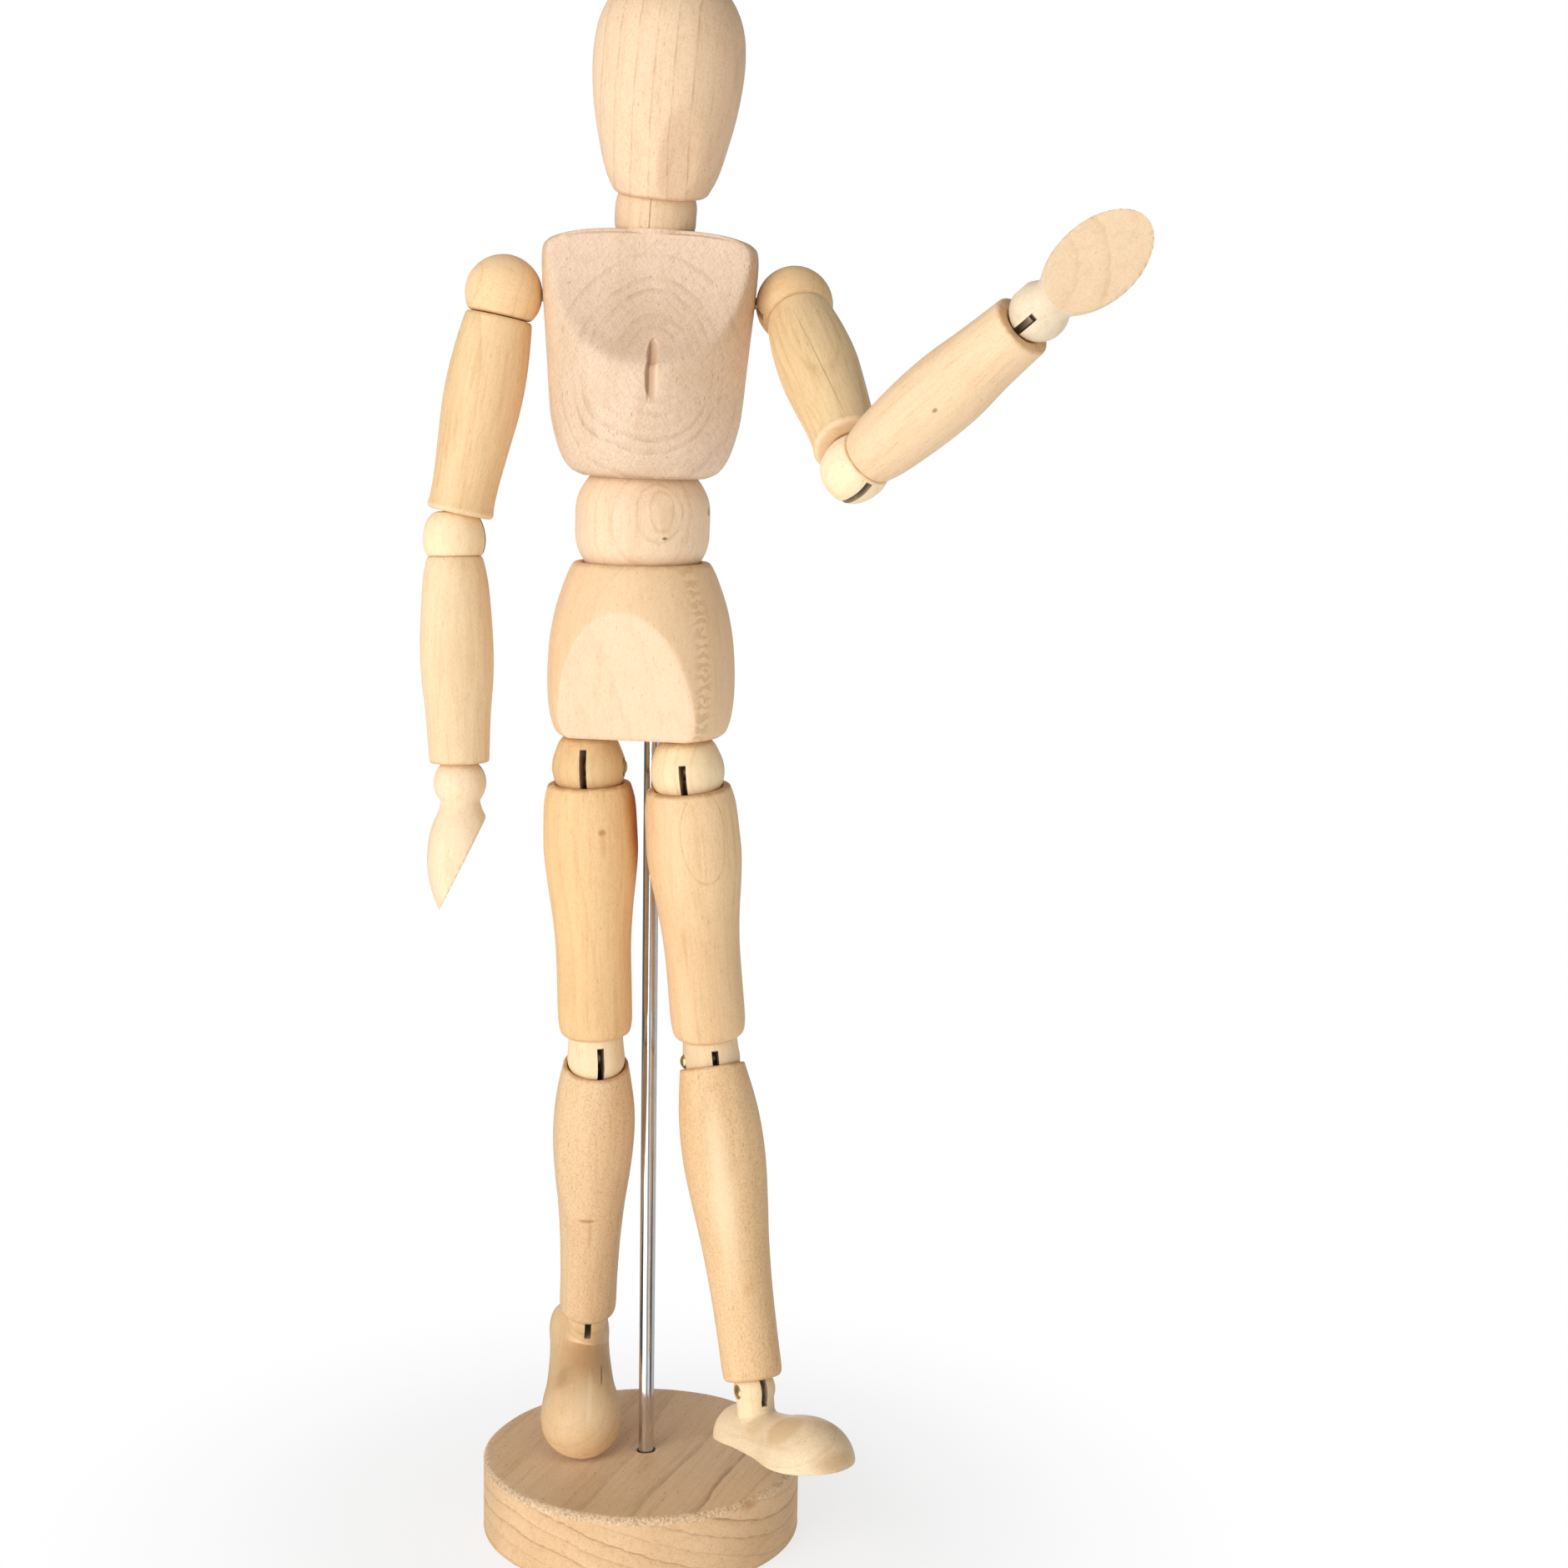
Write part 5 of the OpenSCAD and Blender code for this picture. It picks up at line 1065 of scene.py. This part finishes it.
    rows = [np.array([[fx, heel + 0.12, -sole + 0.42 * 0.5 * r]])]
    for f in (0.35, 0.7, 0.93):
        rows.append(section(0.5 * r, -heel - 0.12 * (1 - f * f), f))
    for rad, along in prof:
        if rad < 0.05:
            rows.append(np.array([[fx, -along, -sole + 0.02]]))
            break
        sec = section(rad, along)
        bump_ = 0.03 * (lumps(sec, 41 + k, 9.0) - 0.6)
        up = np.clip((sec[:, 2] + sole) / 2.0, 0, 1)
        sec[:, 2] += bump_ * up
        rows.append(sec)
    if sd == "right":
        marks = [dict(kind="haze", at=(0.3, -7.0, -3.5), n=(0.1, -0.1, 1), up=(0, 1, 0), w=8.5, h=7.0, deep=9, tone=rgb(198, 152, 104), amount=0.6, jit=1.0, wob=0.2),
                 dict(kind="haze", at=(-4.6, -13.0, -5.0), n=(-0.5, -0.2, 0.85), up=(0, 1, 0), w=2.6, h=4.6, deep=4, tone=rgb(176, 128, 82), amount=0.5, jit=1.0, wob=0.35),
                 # painted highlight: the pale patch on the toe and the thin pale streak stand for the foot's glossy
                 # shine
                 dict(kind="haze", at=(0.2, -20.0, -3.4), n=(0.1, -0.4, 0.9), up=(0.05, 1, 0), w=5.5, h=6.5, deep=6, tone=rgb(240, 212, 172), amount=0.5, jit=0.7, wob=0.3),
                 dict(kind="haze", at=(0.2, -17.5, -2.6), n=(0.1, -0.2, 1), up=(0.05, 1, 0), w=0.7, h=9, deep=3, tone=rgb(244, 218, 180), amount=0.5, jit=0.5),
                 dict(kind="soft", at=(2.9, -11.5, -3.9), n=(0.4, -0.2, 0.9), up=(0.15, 1, 0), w=0.16, h=4.2, deep=3, tone=rgb(74, 44, 22), amount=0.75, jit=0.6, wob=0.6, sunk=1.2)]
    else:
        marks = [dict(kind="soft", at=(-3.6, -16.3, -3.5), n=(-0.45, -0.2, 0.87), up=(0.2, 1, 0), w=4.4, h=4.8, deep=4, tone=rgb(212, 170, 120), amount=0.55, jit=0.45, wob=0.22),
                 dict(kind="haze", at=(-4.5, -6.0, -5.0), n=(-0.5, 0, 0.9), up=(0, 1, 0), w=3.4, h=4.2, deep=4, tone=rgb(216, 176, 126), amount=0.4, jit=0.8, wob=0.4),
                 dict(kind="haze", at=(0.8, -27.0, -8.5), n=(0, -1, 0.2), up=(0, 0, 1), w=7.0, h=2.2, deep=3, tone=rgb(196, 150, 98), amount=0.5, jit=0.6, wob=0.4)]
    mat = wood(sd + "_foot_wood", c["ft"], c["ft_d"], 41 + k, pith=(-16, -24, 0), axis=(0.04, 0.08, 1), period=2.8, ring=0.22, fibre=0.5, fleck=0.35, speckle=0.4, turn=(90, 0, 0), marks=marks, rough=0.44 if sd == "right" else 0.52,
               rims=[(-sole, 0.5, 0.2, rgb(186, 142, 94))])
    piece(sd + "_foot", rows, mat, [drill((0, 0, -7.0), (0, 0, 3), 3.63)], sharp=44)
    # squeezed-out glue round the peg
    seg = 72
    th = np.linspace(0, 2 * math.pi, seg, endpoint=False)

    def foot_z(x, y):
        rad = np.interp(-y, fs, fr)
        return -sole + np.sqrt(np.maximum(rad ** 2 - (x - fx) ** 2, 0.01))

    rows = []
    swell = 1.0 + 0.3 * np.sin(2 * th + 0.7 + k) + 0.18 * np.sin(5 * th + 2.0)
    for t in np.linspace(0, 1, 9):
        rad = 3.62 + 0.75 * swell * (1 - t) ** 1.7
        x, y = rad * np.cos(th), rad * np.sin(th)
        rows.append(np.c_[x, y, foot_z(x, y) + 0.6 * swell * t ** 1.6 - 0.06 * (1 - t)])
    x, y = 3.45 * np.cos(th), 3.45 * np.sin(th)
    rows.append(np.c_[x, y, foot_z(x, y) + 0.45])
    rows.append(np.c_[x, y, foot_z(x, y) - 0.4])
    verts, faces = loft(rows, True)
    glue = mesh_object(sd + "_ankle_glue", verts, faces)
    mat = wood(sd + "_glue_skin", c["ft"], c["ft_d"], 43 + k, pith=(14, -16, 0), period=3.0, ring=0.15, fibre=0.3, fleck=0.1, speckle=0.15, rough=0.22, bump=0.25)
    settle(glue, F[sd + "_foot"], BODY[sd + "_foot"], mat)

# ------------------------------------------------------------------ hardware kept from the frame
M_BRASS = metal("pin_brass", (0.62, 0.47, 0.22, 1), (0.34, 0.25, 0.12, 1), 5, rough=0.28, grain=(1.0, 1.0, 1.0), tarnish=0.6, bump=0.4)
M_LINK = metal("link_steel", (0.50, 0.38, 0.28, 1), (0.28, 0.17, 0.10, 1), 8, rough=0.38, grain=(0.3, 1.0, 1.0), tarnish=0.7, bump=0.4)
for name, ob in frame["nodes"].items():
    if name.endswith(("_pin", "_pins")):
        m = M_BRASS
    elif "_link" in name or name.endswith("_peg"):
        m = M_LINK
    else:
        continue
    ob.data.materials.clear()
    ob.data.materials.append(m)
    ob.data.shade_smooth()
    ob.data.set_sharp_from_angle(angle=math.radians(35))


def raised_pin(node, ball, sign, reach, tail, head_r, rise):
    """Driven pin whose domed head stands a little proud of its ball."""
    pr = 0.8
    prof = [(pr - 0.12, -tail), (pr, -tail + 0.12), (pr, reach - 0.95), (head_r - 0.08, reach - 0.95), (head_r, reach - 0.87), (head_r, reach - 0.4)]
    for t in np.linspace(0, math.pi / 2, 11)[1:-1]:
        prof.append((head_r * math.cos(t), reach - 0.4 + (rise + 0.4) * math.sin(t)))
    th = np.linspace(0, 2 * math.pi, 48, endpoint=False)
    rows = [np.array([[0, 0, -tail]])]
    for r, z in prof:
        rows.append(np.c_[r * np.cos(th), r * np.sin(th), np.full(48, z)])
    rows.append(np.array([[0, 0, reach + rise]]))
    verts, faces = loft(rows)
    M = Vector((sign, 0, 0)).to_track_quat("Z", "Y").to_matrix().to_4x4()
    ob = mesh_object(node + "_shape", [tuple(M @ Vector(v)) for v in verts], faces)
    return settle(ob, F[ball], BODY[ball], M_BRASS, [node], 35)


raised_pin("right_hip_pin", "right_hip", 1, 6.9, 5.4, 1.5, 0.4)
raised_pin("left_knee_pin", "left_knee", -1, 5.5, 4.2, 1.36, 0.55)

# ------------------------------------------------------------------ camera
YAW, PITCH, ROLL = math.radians(3.16), math.radians(9.0), math.radians(0.96)
fwd = Vector((math.sin(YAW) * math.cos(PITCH), math.cos(YAW) * math.cos(PITCH), -math.sin(PITCH)))
right = Vector((math.cos(YAW), -math.sin(YAW), 0.0))
up = right.cross(fwd)
r2 = math.cos(ROLL) * right + math.sin(ROLL) * up
u2 = -math.sin(ROLL) * right + math.cos(ROLL) * up
cam = bpy.data.cameras.new("view")
cam.sensor_width, cam.sensor_fit = 36.0, "HORIZONTAL"
cam.lens = 3011.0 / 1880.0 * 36.0
cam.clip_start, cam.clip_end = 0.02, 50.0
cam_ob = bpy.data.objects.new("view", cam)
cam_ob.matrix_world = Matrix(((r2.x, u2.x, -fwd.x, 0.0), (r2.y, u2.y, -fwd.y, -0.4775), (r2.z, u2.z, -fwd.z, 0.226), (0, 0, 0, 1)))
scene.collection.objects.link(cam_ob)
scene.camera = cam_ob

# ------------------------------------------------------------------ floor
# brightness round the set by bearing: 0.5 is toward the viewer, lower is left, higher is right
FLAGS = [(0.0, 0.3), (0.24, 0.08), (0.305, 0.1), (0.33, 2.2), (0.45, 2.4), (0.475, 0.45), (0.53, 0.4), (0.555, 0.9), (0.61, 1.0), (0.64, 0.1), (0.70, 0.1), (0.73, 0.6), (0.85, 0.6), (1.0, 0.4)]
seg = 96
rows = [np.array([[0, 0, 0.0]])]
th = np.linspace(0, 2 * math.pi, seg, endpoint=False)
for rad in (60, 120, 250, 500, 1000, 2000, 4000):
    rows.append(np.c_[rad * np.cos(th), rad * np.sin(th), np.zeros(seg)])
verts, faces = loft(rows)
floor = mesh_object("floor", verts, faces)
for poly in floor.data.polygons:
    if poly.normal.z < 0:
        poly.flip()
g = Net("floor_paper")
tc = g.node("ShaderNodeTexCoord")
fib = g.noise(tc.outputs["Object"], 60.0, 4.0, 0.6)
bs = g.node("ShaderNodeBsdfPrincipled")
bs.inputs["Roughness"].default_value = 0.9
bs.inputs["Specular IOR Level"].default_value = 0.1
g.put(bs.inputs["Base Color"], g.ramp(fib, [(0.3, (0.90, 0.90, 0.90, 1.0)), (0.7, (0.94, 0.94, 0.94, 1.0))]))
out = g.node("ShaderNodeOutputMaterial")
glow = g.node("ShaderNodeEmission")
glow.inputs["Color"].default_value = (1.0, 1.0, 1.0, 1.0)
glow.inputs["Strength"].default_value = 1.0
both = g.node("ShaderNodeMixShader")
g.put(both.inputs["Fac"], g.step(g.vec("LENGTH", tc.outputs["Object"]), 0.028, 0.13, 0.72, 1.0))
g.put(both.inputs[1], bs.outputs["BSDF"])
g.put(both.inputs[2], glow.outputs["Emission"])
# polished metal sees dark flags and a bright window standing round the set
fx_, fy_, fz_ = g.split(tc.outputs["Object"])[:3]
bearing = g.math("DIVIDE", g.math("ADD", g.math("ARCTAN2", fx_, g.math("MULTIPLY", fy_, -1.0)), math.pi), 2 * math.pi)
flags = g.node("ShaderNodeEmission")
g.put(flags.inputs["Color"], g.ramp(bearing, FLAGS))
plain = g.node("ShaderNodeLightPath")
seen = g.node("ShaderNodeMixShader")
g.put(seen.inputs["Fac"], plain.outputs["Is Glossy Ray"])
g.put(seen.inputs[1], both.outputs["Shader"])
g.put(seen.inputs[2], flags.outputs["Emission"])
g.put(out.inputs["Surface"], seen.outputs["Shader"])
floor.data.materials.append(g.mat)

# ------------------------------------------------------------------ soft studio light
def panel(name, at, aim, size_x, size_y, power, tint=(1.0, 1.0, 1.0)):
    li = bpy.data.lights.new(name, "AREA")
    li.shape, li.size, li.size_y, li.energy, li.color = "RECTANGLE", size_x, size_y, power, tint
    ob = bpy.data.objects.new(name, li)
    ob.matrix_world = Matrix.Translation(at) @ (Vector(aim) - Vector(at)).to_track_quat("-Z", "Y").to_matrix().to_4x4()
    scene.collection.objects.link(ob)
    return ob


panel("key", (-0.72, -0.85, 0.46), (0.0, 0.0, 0.13), 0.8, 1.0, 9.6)
panel("low", (-0.15, -1.1, 0.10), (0.0, 0.0, 0.05), 0.8, 0.25, 1.1)
panel("behind", (0.0, 1.2, 0.17), (0.0, 0.0, 0.17), 0.6, 0.3, 1.8)
panel("fill", (0.70, -0.85, 0.30), (0.0, 0.0, 0.15), 0.5, 0.6, 0.5)

world = bpy.data.worlds.new("studio")
scene.world = world
world.use_nodes = True
nt = world.node_tree
nt.nodes.clear()
bg_seen = nt.nodes.new("ShaderNodeBackground")
bg_seen.inputs["Color"].default_value = (1.0, 1.0, 1.0, 1.0)
bg_seen.inputs["Strength"].default_value = 1.0
bg_light = nt.nodes.new("ShaderNodeBackground")
bg_light.inputs["Color"].default_value = (0.97, 0.985, 1.0, 1.0)
wc = nt.nodes.new("ShaderNodeTexCoord")
ws = nt.nodes.new("ShaderNodeSeparateXYZ")
wm = nt.nodes.new("ShaderNodeMapRange")
wm.inputs[1].default_value, wm.inputs[2].default_value, wm.inputs[3].default_value, wm.inputs[4].default_value = -1.0, 1.0, 0.46, 0.28
nt.links.new(wc.outputs["Generated"], ws.inputs[0])
nt.links.new(ws.outputs[0], wm.inputs[0])
nt.links.new(wm.outputs[0], bg_light.inputs["Strength"])
lp = nt.nodes.new("ShaderNodeLightPath")
mx = nt.nodes.new("ShaderNodeMixShader")
wo = nt.nodes.new("ShaderNodeOutputWorld")
nt.links.new(lp.outputs["Is Camera Ray"], mx.inputs["Fac"])
nt.links.new(bg_light.outputs["Background"], mx.inputs[1])
nt.links.new(bg_seen.outputs["Background"], mx.inputs[2])
nt.links.new(mx.outputs["Shader"], wo.inputs["Surface"])
scene.view_settings.view_transform = "Standard"
scene.view_settings.look = "None"
scene.view_settings.exposure = 0.0
scene.view_settings.gamma = 1.0

bpy.context.view_layer.update()
